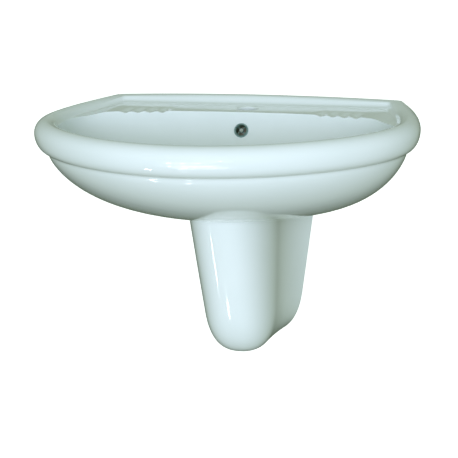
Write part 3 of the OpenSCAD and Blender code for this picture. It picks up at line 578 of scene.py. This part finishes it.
def pedestalPlace(i, depth):
    p = pedestalSettings
    q = (depth - p["top"]) / (p["bottom"] - p["top"])
    low = min(1, max(0, (depth - (p["bottom"] - p["round"])) / p["round"]))
    f = max(0, 1 - low ** p["bottomPower"]) ** (1 / p["bottomPower"])
    wallW, noseW = mix(p["wallTop"], p["wallLow"], q) * f, mix(p["noseTop"], p["noseLow"], q) * f
    start = mix(p["noseStartTop"], p["noseStartLow"], q)
    length = mix(p["noseTopLength"], p["noseLowLength"], max(0, q) ** p["noseShrink"]) * f
    half = p["columns"] // 2
    side = 1 if i <= half else -1
    j = i if i <= half else p["columns"] - i
    flank = half // 2
    if j < flank:
        t = j / flank
        return Vector((side * (noseW + (wallW - noseW) * (1 - t) ** p["flankCurve"]), -start * t, -depth))
    a = math.pi / 2 * (j - flank) / (half - flank)
    return Vector((side * noseW * max(0, math.cos(a)) ** (2 / p["nosePower"]),
                   -(start + length * math.sin(a) ** (2 / p["nosePower"])), -depth))


def pedestalTop(i):
    # the depth at which a column of the half pedestal meets the underside of the basin
    p = pedestalSettings
    depth = p["searchFrom"]
    while depth > p["top"]:
        here, above = pedestalPlace(i, depth), pedestalPlace(i, depth - p["searchStep"])
        here.y, above.y = min(here.y, -1), min(above.y, -1)  # just clear of the wall
        hit = basinOutside.ray_cast(here, (above - here).normalized(), (above - here).length + p["gap"])
        if hit[0]:
            return -hit[0].z + p["gap"]
        depth -= p["searchStep"]
    return p["top"]


def makePedestal():
    p = pedestalSettings
    tops = [pedestalTop(i) for i in range(p["columns"] + 1)]

    def place(i, j):
        depth = mix(tops[i], p["bottom"], math.sin(math.pi / 2 * j / p["rows"]))
        return pedestalPlace(i, depth)

    bm = surfaceFromGrid(p["columns"], p["rows"], place, False)
    bmesh.ops.remove_doubles(bm, verts=bm.verts, dist=0.05)
    bmesh.ops.recalc_face_normals(bm, faces=bm.faces)
    nose = max(bm.faces, key=lambda f: -f.calc_center_median().y)
    if nose.normal.y > 0:
        bmesh.ops.reverse_faces(bm, faces=bm.faces)
    bmesh.ops.solidify(bm, geom=bm.faces, thickness=p["thick"])
    bmesh.ops.recalc_face_normals(bm, faces=bm.faces)
    for side in (-1, 1):  # the ears that the wall bolts hold
        ear = blockShape((p["earWidth"], p["earDepth"], p["earHeight"]), 3, 4)
        place = (side * (p["boltX"] + p["earOut"]), -p["earDepth"] / 2 - 0.3, -p["boltDepth"])
        bm = combine(bm, moved(ear, Matrix.Translation(place)), "UNION")
    holes = [moved(rodShape(p["boltHole"], -9, 20, 32, 1),
                   Matrix.Translation((side * p["boltX"], 0, -p["boltDepth"])) @ facing) for side in (-1, 1)]
    bm = combine(bm, joined(holes), "DIFFERENCE")
    return newPiece("halfPedestalCasting", bm, "vitreous_china", "half_pedestal")


pedestal = makePedestal()
print("half pedestal made", len(pedestal.data.polygons))


overflowSettings = {"hole": 10.5, "bezel": 12.6, "height": 2.4, "inside": 8.9, "length": 14, "hub": 4.2,
                    "spokes": 4, "spokeWidth": 1.5, "spokeThick": 1.6, "spokeSunk": 1.8}


def makeOverflowRing():
    o = overflowSettings
    rise = [(o["bezel"] - 1.3 + 1.3 * math.cos(a), 0.5 + 1.7 * math.sin(a))
            for a in (math.radians(15 * k) for k in range(7))]
    ring = spunShape([(o["hole"] - 0.3, -o["length"]), (o["hole"] - 0.3, 0.1), (o["bezel"], 0.1)] + rise
                     + [(o["inside"] + 0.9, o["height"] - 0.3), (o["inside"] + 0.2, 1.4), (o["inside"], 0.4),
                        (o["inside"], -o["length"])], 96)
    dome = [(0, 1.6), (1.5, 1.5), (2.8, 1.1), (3.7, 0.5), (o["hub"], -0.4), (o["hub"], -3), (0, -3)]
    shapes = [ring, spunShape(dome, 48, 1)]
    reach = o["inside"] - o["hub"] + 1
    for k in range(o["spokes"]):
        arm = blockShape((reach, o["spokeWidth"], o["spokeThick"]), 0.3, 2)
        moved(arm, Matrix.Translation((o["hub"] + reach / 2 - 0.5, 0, -o["spokeSunk"])))
        shapes.append(moved(arm, Matrix.Rotation(math.pi / o["spokes"] * (2 * k + 1), 4, "Z")))
    # the ring wears the chrome with the painted teal reflection; the hub wears the plain chrome
    newPiece("overflowTrimRing", moved(joined(shapes), overflowPlace()), "chrome", "overflow_ring",
             materials=[reflectionTintedChrome, chrome])


makeOverflowRing()
print("overflow ring made")


def ringShape(outer, inner, low, high, edge=0.3, steps=64):
    # a ring whose outer corners are rounded off
    bend = edge * 0.3
    return spunShape([(inner, low), (outer - edge, low), (outer - bend, low + bend), (outer, low + edge),
                      (outer, high - edge), (outer - bend, high - bend), (outer - edge, high),
                      (inner, high)], steps)


def threadShape(radius, depth, pitch, start, end, point=0, columns=28):
    # a rod with a thread cut around it; the thread runs out at both ends, and the start may come to a point
    rows = round((end - start) / pitch * 8)

    def place(i, j):
        z, turn = mix(start, end, j / rows), 2 * math.pi * i / columns
        groove = 0.5 - 0.5 * math.cos(2 * math.pi * z / pitch - turn)
        r = radius - depth * groove * min(1, (z - start) / pitch, (end - z) / pitch)
        r -= 0.5 * max(0, 1 - (end - z) / 0.8)
        if point:
            r *= mix(0.2, 1, min(1, (z - start) / point))
        return Vector((r * math.cos(turn), r * math.sin(turn), z))

    return closeEnds(surfaceFromGrid(columns, rows, place, True))


def nutShape(flats, height, bore, lipBore=0, lip=0, sides=6):
    # a nut with its corners turned off; a union nut has a narrower lip at its top
    corner = flats / 2 / math.cos(math.pi / sides)
    face = flats / 2 * 0.97  # radius of the flat end, just inside the flats
    drop = (corner - face) * 0.58  # the corners are turned off at 30 degrees
    prism = bmesh.new()
    bmesh.ops.create_cone(prism, cap_ends=True, segments=sides, radius1=corner, radius2=corner, depth=height)
    spin = math.pi / 2 if sides == 6 else 0
    moved(prism, Matrix.Translation((0, 0, height / 2)) @ Matrix.Rotation(spin, 4, "Z"))
    barrel = spunShape([(0, 0), (face, 0), (corner, drop), (corner, height - drop), (face, height),
                        (0, height)], 96)
    chamfer = 0.6
    hole = [(0, -1), (bore + chamfer, -1), (bore + chamfer, 0), (bore, chamfer)]
    if lip:
        hole += [(bore, height - lip), (lipBore, height - lip), (lipBore, height + 1)]
    else:
        hole += [(bore, height - chamfer), (bore + chamfer, height), (bore + chamfer, height + 1)]
    hole.append((0, height + 1))
    return combine(combine(prism, barrel, "INTERSECT"), spunShape(hole, 64), "DIFFERENCE")


def pipeShape(path, columns=48):
    # a bent tube in the plane x = 0; each point of the path is (y, z, outer radius, inner radius)
    count = len(path)
    rows = 2 * count

    def place(i, j):
        k = j % rows
        outside = k < count
        n = k if outside else rows - 1 - k
        before, after = path[max(0, n - 1)], path[min(count - 1, n + 1)]
        ahead = Vector((0, after[0] - before[0], after[1] - before[1])).normalized()
        across = ahead.cross(Vector((1, 0, 0)))
        turn = 2 * math.pi * i / columns
        r = path[n][2] if outside else path[n][3]
        return Vector((r * math.cos(turn), path[n][0], path[n][1])) + across * (r * math.sin(turn))

    bm = surfaceFromGrid(columns, rows, place, True)
    bmesh.ops.recalc_face_normals(bm, faces=bm.faces)
    return bm


def arcPath(y, z, radius, start, end, steps, outer, inner):
    # points on an arc about (y, z), from one angle to another
    turns = [math.radians(mix(start, end, k / steps)) for k in range(steps + 1)]
    return [(y + radius * math.cos(turn), z + radius * math.sin(turn), outer, inner) for turn in turns]


# the push waste; depths are measured down from the rim's crown, as for the basin
wasteSettings = {
    "y": basinSettings["wasteY"], "flangeRadius": 31.5, "flangeTop": 149.5, "flangeUnder": 152,
    "tube": 20.8, "bore": 18.3, "end": 212, "slotTop": 158, "slotHeight": 12, "slotWidth": 14,
    "hubTop": 182, "hubHeight": 7, "hub": 7.5, "guide": 5, "spokeWidth": 3, "threadPitch": 2.3,
    "threadDepth": 0.7, "capRadius": 26.5, "capUnder": 147.2, "capHeight": 5.4,
    "nutTop": 182, "nutHeight": 10, "nutFlats": 55.6}


def makeWaste():
    w = wasteSettings
    edge = [(w["flangeRadius"] - 1.1 + 1.1 * math.sin(a), -w["flangeTop"] - 1.1 + 1.1 * math.cos(a))
            for a in (math.radians(15 * k) for k in range(7))]
    mouth = [(w["bore"], -w["flangeTop"] - 2.2), (w["bore"] + 0.25, -w["flangeTop"] - 1.2),
             (w["bore"] + 0.8, -w["flangeTop"] - 0.4), (w["bore"] + 1.6, -w["flangeTop"])]
    body = spunShape([(w["bore"], -w["end"])] + mouth + edge + [(w["flangeRadius"], -w["flangeUnder"]),
                      (w["tube"] - 0.5, -w["flangeUnder"]), (w["tube"] - 0.5, -w["end"] + 0.4),
                      (w["tube"] - 0.9, -w["end"])], 96)
    for turn in (45, 135):  # each slot goes through both walls
        slot = blockShape((60, w["slotWidth"], w["slotHeight"]), 3, 4, along=0)
        place = Matrix.Translation((0, 0, -w["slotTop"] - w["slotHeight"] / 2))
        body = combine(body, moved(slot, place @ Matrix.Rotation(math.radians(turn), 4, "Z")), "DIFFERENCE")
    collar = threadShape(w["tube"], w["threadDepth"], w["threadPitch"], -w["end"] + 1, -w["slotTop"] - 16,
                         columns=72)
    collar = combine(collar, rodShape(w["tube"] - 1.2, -w["end"] - 5, -w["slotTop"], 72), "DIFFERENCE")
    hub = ringShape(w["hub"], w["guide"], -w["hubTop"] - w["hubHeight"], -w["hubTop"], 0.6, 48)
    shapes = [body, collar, hub]
    reach = w["bore"] - w["hub"] + 2  # the spokes run 1 mm into the hub and into the wall
    for turn in (90, 210, 330):
        spoke = blockShape((reach, w["spokeWidth"], w["hubHeight"] - 2), 0.6, 3)
        place = (w["hub"] - 1 + reach / 2, 0, -w["hubTop"] - w["hubHeight"] / 2 - 1)
        moved(spoke, Matrix.Translation(place))
        shapes.append(moved(spoke, Matrix.Rotation(math.radians(turn), 4, "Z")))
    newPiece("wasteBody", moved(joined(shapes), atWaste), "chrome", "waste_body")

    cap, top = w["capRadius"], w["capHeight"]
    rise = [(cap - 0.7 + 0.7 * math.cos(a), 1.7 + 0.7 * math.sin(a))
            for a in (math.radians(18 * k) for k in range(5))]
    dome = [((cap - 1.2) * math.cos(a), 2.4 + (top - 2.4) * math.sin(a))
            for a in (math.radians(90 * k / 22) for k in range(1, 22))] + [(0, top)]
    disc = spunShape([(0, 0), (cap - 0.8, 0), (cap - 0.1, 0.3), (cap, 0.9)] + rise + dome, 96)
    moved(disc, atWaste @ Matrix.Translation((0, 0, -w["capUnder"])))
    newPiece("plugCapDome", disc, "chrome", "plug_cap", body="plug")
    nut = moved(nutShape(w["nutFlats"], w["nutHeight"], w["tube"]),
                atWaste @ Matrix.Translation((0, 0, -w["nutTop"] - w["nutHeight"])))
    newPiece("wasteBacknut", nut, "brass", "waste_backnut")


makeWaste()
print("waste made")

# the trap, the pipe to the wall and its rosette
trapSettings = {
    "pipe": 16, "bore": 14.2, "socket": 20, "socketDepth": 16, "floor": 3, "bend": 30, "top": 214.5,
    "turnDepth": 248, "straight": 26, "outletDepth": 192, "collar": 20.5, "collarHeight": 3, "nutUp": 4,
    "nutFlats": 48, "lip": 4, "sealHeight": 3, "inletFlats": 49.6, "seat": 5, "portRadius": 15,
    "portBore": 11, "portDown": 10, "portHeight": 14, "inWall": 50, "roseRadius": 30, "roseHeight": 9,
    "roseCurve": 1.6}


def makeTrap():
    t = trapSettings
    y0 = -wasteSettings["y"]  # the leg under the waste
    u = y0 + 2 * t["bend"]  # the rising leg
    inner, outer, sock = t["bore"], t["pipe"], t["socket"]
    down = [(y0, -t["top"], t["collar"] - 0.4, inner), (y0, -t["top"] - 0.4, t["collar"], inner),
            (y0, -t["top"] - t["collarHeight"] + 0.4, t["collar"], inner),
            (y0, -t["top"] - t["collarHeight"], t["collar"] - 0.4, inner),
            (y0, -t["top"] - t["collarHeight"] - 0.1, outer, inner)]
    half = arcPath(y0 + t["bend"], -t["turnDepth"], t["bend"], 180, 360, 40, outer, inner)
    z = -t["turnDepth"]
    # a socket: the way along it, and its outer and inner radius
    socket = [(0.2, sock - 0.6, inner), (0.8, sock, inner), (t["floor"], sock, inner),
              (t["floor"] + 0.05, sock, outer), (t["socketDepth"] - 0.5, sock, outer),
              (t["socketDepth"], sock - 0.4, outer + 0.2)]
    bend = pipeShape(down + half + [(u, z + way, wide, bore) for way, wide, bore in socket])
    port = Matrix.Translation((0, y0 + t["bend"], -t["turnDepth"] - t["bend"] - t["pipe"] - t["portDown"]))
    boss = spunShape([(0, 0), (t["portRadius"] - 0.6, 0), (t["portRadius"], 0.6),
                      (t["portRadius"], t["portHeight"]), (0, t["portHeight"])], 64)
    bend = combine(bend, moved(boss, port), "UNION")
    bend = combine(bend, moved(rodShape(t["portBore"], -1, t["portHeight"] + 3, 48), port), "DIFFERENCE")
    newPiece("trapBend", bend, "white_plastic", "trap_u_bend")

    knee = [(u, z + t["seat"], outer - 0.5, inner), (u, z + t["seat"] + 0.6, outer, inner),
            (u, z + t["straight"] - 0.1, outer, inner)]
    quarter = arcPath(u + t["bend"], -t["outletDepth"] - t["bend"], t["bend"], 180, 90, 24, outer, inner)
    e, d = u + t["bend"], -t["outletDepth"]
    elbow = pipeShape(knee + quarter + [(e + way, d, wide, bore) for way, wide, bore in socket])
    newPiece("trapElbow", elbow, "white_plastic", "trap_elbow")

    grip = t["socketDepth"] + t["sealHeight"] - t["nutUp"]
    atOutlet = Matrix.Translation((0, e, d)) @ inward
    for name, node, where in (("trapJointNut", "trap_joint_nut", Matrix.Translation((0, u, z))),
                              ("trapOutletNut", "trap_outlet_nut", atOutlet)):
        nut = nutShape(t["nutFlats"], grip + t["lip"], sock, outer, t["lip"], 8)
        newPiece(name, moved(nut, where @ Matrix.Translation((0, 0, t["nutUp"]))), "white_plastic", node)
    low, high = (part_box("trap_inlet_nut")[k][2] / mm - rimZ for k in (0, 1))
    nut = moved(nutShape(t["inletFlats"], high - low, wasteSettings["tube"], outer, t["lip"], 8),
                Matrix.Translation((0, 0, high - low)) @ Matrix.Rotation(math.pi, 4, "X"))  # its lip is below
    newPiece("trapInletNut", moved(nut, atWaste @ Matrix.Translation((0, 0, low))), "white_plastic",
             "trap_inlet_nut")

    length = -e + t["inWall"]
    mark = -e  # a groove around the pipe, level with the wall's face
    pipe = spunShape([(inner, t["seat"]), (outer - 0.6, t["seat"]), (outer, t["seat"] + 0.6),
                      (outer, mark - 1), (outer - 0.4, mark - 0.8), (outer - 0.4, mark - 0.2), (outer, mark),
                      (outer, length - 0.6), (outer - 0.6, length), (inner + 0.3, length),
                      (inner, length - 0.3)], 72)
    newPiece("outletPipe", moved(pipe, atOutlet), "white_plastic", "outlet_pipe")
    r, h = t["roseRadius"], t["roseHeight"]
    rise = [(mix(r - 0.4, outer + 3.2, k / 12),
             1.5 + (h - 1.5) * math.sin(math.pi / 2 * k / 12) ** t["roseCurve"]) for k in range(13)]
    rose = spunShape([(outer, 0), (r - 0.3, 0), (r, 0.4), (r, 1.1)] + rise
                     + [(outer + 0.5, h), (outer, h - 0.5)], 96)
    newPiece("wallRosette", moved(rose, Matrix.Translation((0, 0, d)) @ facing), "chrome", "wall_rosette")


makeTrap()
print("trap made")

# the trap's cleaning plug, with a coin slot under its head
portSettings = {"head": 15, "rib": 1.2, "ribs": 12, "headHeight": 9, "toPort": 11.6, "shaft": 10.95, "pitch": 3,
                "threadDepth": 0.9, "thread": 9, "slotLength": 24, "slotWidth": 2.4, "slotDepth": 2}


def makeCleaningPlug():
    p, t = portSettings, trapSettings
    wide, tall = p["head"], p["headHeight"]
    head = spunShape([(0, 0), (wide - 0.9, 0), (wide - 0.25, 0.25), (wide, 0.9), (wide, tall - 0.5),
                      (wide - 0.5, tall), (0, tall)], 72)
    slot = blockShape((p["slotLength"], p["slotWidth"], 2 * p["slotDepth"]), 1, 4, along=2)
    head = combine(head, slot, "DIFFERENCE")
    ribs = []
    for k in range(p["ribs"]):
        angle = 2 * math.pi * k / p["ribs"]
        rib = spunShape([(0, 0.9), (0.8, 0.9), (p["rib"], 1.6), (p["rib"], tall - 0.7), (0.8, tall),
                         (0, tall)], 16)
        ribs.append(moved(rib, Matrix.Translation((wide * math.cos(angle), wide * math.sin(angle), 0))))
    shaft = threadShape(p["shaft"], p["threadDepth"], p["pitch"], tall - 0.5, p["toPort"] + p["thread"],
                        columns=48)
    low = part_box("cleanout_plug")[0][2] / mm - rimZ
    place = Matrix.Translation((0, -wasteSettings["y"] + t["bend"], low))
    newPiece("cleaningPlug", moved(joined([head, shaft] + ribs), place), "white_plastic", "cleanout_plug",
             body="cleanout")


makeCleaningPlug()
print("cleaning plug made")

# the wall fixings: each bolt has a wood thread in the wall and a machine thread for its nut
basinFixings = {"name": "basin", "x": basinSettings["boltX"], "radius": 5, "thread": 4.5, "pitch": 1.5,
                "flats": 16.5, "nut": 8, "washer": 12, "washerSlot": "zinc_steel"}
pedestalFixings = {"name": "pedestal", "x": pedestalSettings["boltX"], "radius": 4, "thread": 3.6,
                   "pitch": 1.25, "flats": 13.2, "nut": 6.4, "washer": 9, "washerSlot": "grey_plastic"}
fixingSettings = {"inWall": 60, "woodPitch": 3.4, "woodDepth": 0.9, "machineDepth": 0.25, "point": 9, "neck": 2}


def makeFixings(f):
    s = fixingSettings
    low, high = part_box(f["name"] + "_wall_bolts")
    washLow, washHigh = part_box(f["name"] + "_washers")
    drop = (low[2] + high[2]) / 2 / mm - rimZ
    nutIn = -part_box(f["name"] + "_nuts")[1][1] / mm  # distances out from the wall
    outside, washIn, washOut = -low[1] / mm, -washHigh[1] / mm, -washLow[1] / mm
    made = {"wall_bolts": [], "nuts": [], "washers": []}
    for side in (-1, 1):
        place = Matrix.Translation((side * f["x"], 0, drop)) @ facing
        wood = threadShape(f["radius"], s["woodDepth"], s["woodPitch"], -s["inWall"], 0, s["point"])
        neck = rodShape(f["thread"] - 0.6, -0.5, s["neck"], 28)
        machine = threadShape(f["thread"], s["machineDepth"], f["pitch"], s["neck"] - 0.5, outside)
        made["wall_bolts"].append(moved(joined([wood, neck, machine]), place))
        made["nuts"].append(moved(nutShape(f["flats"], f["nut"], f["thread"]),
                                  place @ Matrix.Translation((0, 0, nutIn))))
        made["washers"].append(moved(ringShape(f["washer"], f["radius"], washIn, washOut), place))
    for part, slot in (("wall_bolts", "zinc_steel"), ("nuts", "zinc_steel"), ("washers", f["washerSlot"])):
        name = f["name"] + "".join(word.capitalize() for word in part.split("_"))
        newPiece(name, joined(made[part]), slot, f["name"] + "_" + part)


makeFixings(basinFixings)
makeFixings(pedestalFixings)

bushSettings = {"radius": 9, "flange": 14, "in": 1, "out": 14, "thick": 3, "bore": 5}


def makeBushes():
    # flanged bushes that keep the bolts off the china
    u = bushSettings
    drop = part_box("basin_bushes")[0][2] / mm + u["flange"] - rimZ
    bushes = []
    tube, wide, top = u["radius"], u["flange"], u["out"] + u["thick"]
    for side in (-1, 1):
        bush = spunShape([(u["bore"], u["in"]), (tube - 0.6, u["in"]), (tube, u["in"] + 0.6),
                          (tube, u["out"] - 0.5), (tube + 0.5, u["out"]), (wide - 0.5, u["out"]),
                          (wide, u["out"] + 0.5), (wide, top - 1), (wide - 0.3, top - 0.3), (wide - 1, top),
                          (u["bore"], top)], 64)
        bushes.append(moved(bush, Matrix.Translation((side * basinSettings["boltX"], 0, drop)) @ facing))
    newPiece("basinBushes", joined(bushes), "grey_plastic", "basin_bushes")


makeBushes()
print("fixings made")

for part in frame["record"]["subparts"]:  # the nodes that keep their own mesh get their finish here
    for holder in frame["nodes"][part["node"]].material_slots:
        holder.material = finishes[part["material_slot"]][0]
print("hardware finished")

# the studio; turns and rises are in degrees from straight ahead of the basin, to the right and up
studioMiddle = Vector((0, -0.25, -0.05))
studioSettings = {
    "floorBelowRim": 0.85, "floorSize": 120.0, "floorGlow": 0.75, "backdrop": "#fbfcfc",
    "skyLow": "#86937c", "skyHigh": "#aab8ad", "skyFrom": -0.6, "skyTo": 0.5,
    "roomBehind": "#4b5643", "roomTowards": (-0.26, 0.9, -0.45), "roomFull": 0.3, "roomEnd": 0.62,
    # suns: turn, rise, angle, power, colour; they light the glaze but aren't mirrored in it
    "suns": {"softKey": (10, 7, 24, 3.0, "#e0e6fd"), "lowFill": (10, -32, 80, 0.3, "#d9e8ff")},
    # panels: turn, rise, width, height, power; the long ones are slats of light that the roll mirrors
    "panelAway": 4.2, "panelColour": "#f2f8ff",
    "panels": [(-12, -13, 1.6, 0.03, 8), (-10, -27, 2.4, 0.04, 15), (-4, -37, 2.2, 0.03, 9),
               (-48, -46, 0.12, 0.5, 3.5), (-22, -56, 0.12, 0.2, 1.8), (10.6, -1, 0.08, 0.3, 2)]}


def addLight(name, data, turn, rise, away):
    # a light at some distance from the basin, aimed at its middle
    a, b = math.radians(turn), math.radians(rise)
    light = addObject(name, data)
    towards = Vector((math.sin(a) * math.cos(b), -math.cos(a) * math.cos(b), math.sin(b)))
    light.location = towards * away + studioMiddle
    light.rotation_euler = (studioMiddle - light.location).to_track_quat("-Z", "Y").to_euler()
    light.visible_camera = False
    return light


def makeFloor():
    st = studioSettings
    bm = bmesh.new()
    bmesh.ops.create_grid(bm, x_segments=4, y_segments=4, size=st["floorSize"] / 2)
    mesh = meshFrom("studioFloor", bm)
    mesh.materials.append(floorPaint(st["floorGlow"]))
    floor = addObject("studioFloor", mesh)
    floor.location.z = rimZ * mm - st["floorBelowRim"]
    floor.visible_diffuse = floor.visible_glossy = floor.visible_shadow = False


def makeRoom():
    # the room that the glaze mirrors, behind a plain pale backdrop
    st = studioSettings
    world = bpy.data.worlds.new("studio")
    bpy.context.scene.world = world
    world.use_nodes = True
    tree = world.node_tree
    room = tree.nodes["Background"]
    place = addNode(tree, "ShaderNodeTexCoord").outputs["Generated"]
    up = addNode(tree, "ShaderNodeSeparateXYZ", {}, {"Vector": place})
    height = addNode(tree, "ShaderNodeMapRange", {"From Min": st["skyFrom"], "From Max": st["skyTo"]},
                     {"Value": up.outputs["Z"]})
    walls = addNode(tree, "ShaderNodeMix", {"data_type": "RGBA"}, {"Factor": height.outputs["Result"]})
    walls.inputs[6].default_value = srgb(st["skyLow"])
    walls.inputs[7].default_value = srgb(st["skyHigh"])
    # it is dim low behind the basin, which darkens the glaze along its outline
    apart = addNode(tree, "ShaderNodeVectorMath", {"operation": "DISTANCE"}, {0: place})
    apart.inputs[1].default_value = st["roomTowards"]
    near = addNode(tree, "ShaderNodeMapRange",
                   {"From Min": st["roomFull"], "From Max": st["roomEnd"], "To Min": 1.0, "To Max": 0.0},
                   {"Value": apart.outputs["Value"]})
    behind = addNode(tree, "ShaderNodeMix", {"data_type": "RGBA"},
                     {"Factor": near.outputs["Result"], 6: walls.outputs[2]})
    behind.inputs[7].default_value = srgb(st["roomBehind"])
    tree.links.new(behind.outputs[2], room.inputs["Color"])
    backdrop = addNode(tree, "ShaderNodeBackground", {"Color": srgb(st["backdrop"]), "Strength": 1.0})
    both = addNode(tree, "ShaderNodeMixShader", {}, {"Fac": addNode(tree, "ShaderNodeLightPath").outputs[0],
                                                     1: room.outputs[0], 2: backdrop.outputs[0]})
    tree.links.new(both.outputs[0], tree.nodes["World Output"].inputs["Surface"])


def makeLights():
    st = studioSettings
    for name, (turn, rise, angle, power, colour) in st["suns"].items():
        data = bpy.data.lights.new(name, "SUN")
        data.energy, data.angle, data.color = power, math.radians(angle), srgb(colour)[:3]
        addLight(name, data, turn, rise, 4).visible_glossy = False
    for k, (turn, rise, width, height, power) in enumerate(st["panels"]):
        name = "lightPanel%d" % (k + 1)
        data = bpy.data.lights.new(name, "AREA")
        data.energy, data.color, data.shape = power, srgb(st["panelColour"])[:3], "RECTANGLE"
        data.size, data.size_y = width, height
        addLight(name, data, turn, rise, st["panelAway"]).visible_diffuse = False


makeFloor()
makeRoom()
makeLights()
bpy.context.scene.view_settings.view_transform = "Standard"
print("studio ready")

cameraSettings = {"lens": 160.7, "place": (0.90474, -3.45047, 0.5627), "aim": (0.0133, -0.25, -0.1821),
                  "roll": -1.13}


def makeCamera():
    # places are in metres from the rim's crown; the roll is in degrees
    c = cameraSettings
    rim = Vector((0, 0, rimZ * mm))
    camera = addObject("camera", bpy.data.cameras.new("camera"))
    bpy.context.scene.camera = camera
    camera.data.sensor_width = 36
    camera.data.lens = c["lens"]
    camera.location = Vector(c["place"]) + rim
    look = (Vector(c["aim"]) + rim - camera.location).to_track_quat("-Z", "Y").to_matrix().to_4x4()
    camera.rotation_euler = (look @ Matrix.Rotation(math.radians(c["roll"]), 4, "Z")).to_euler()


makeCamera()
print("camera ready")
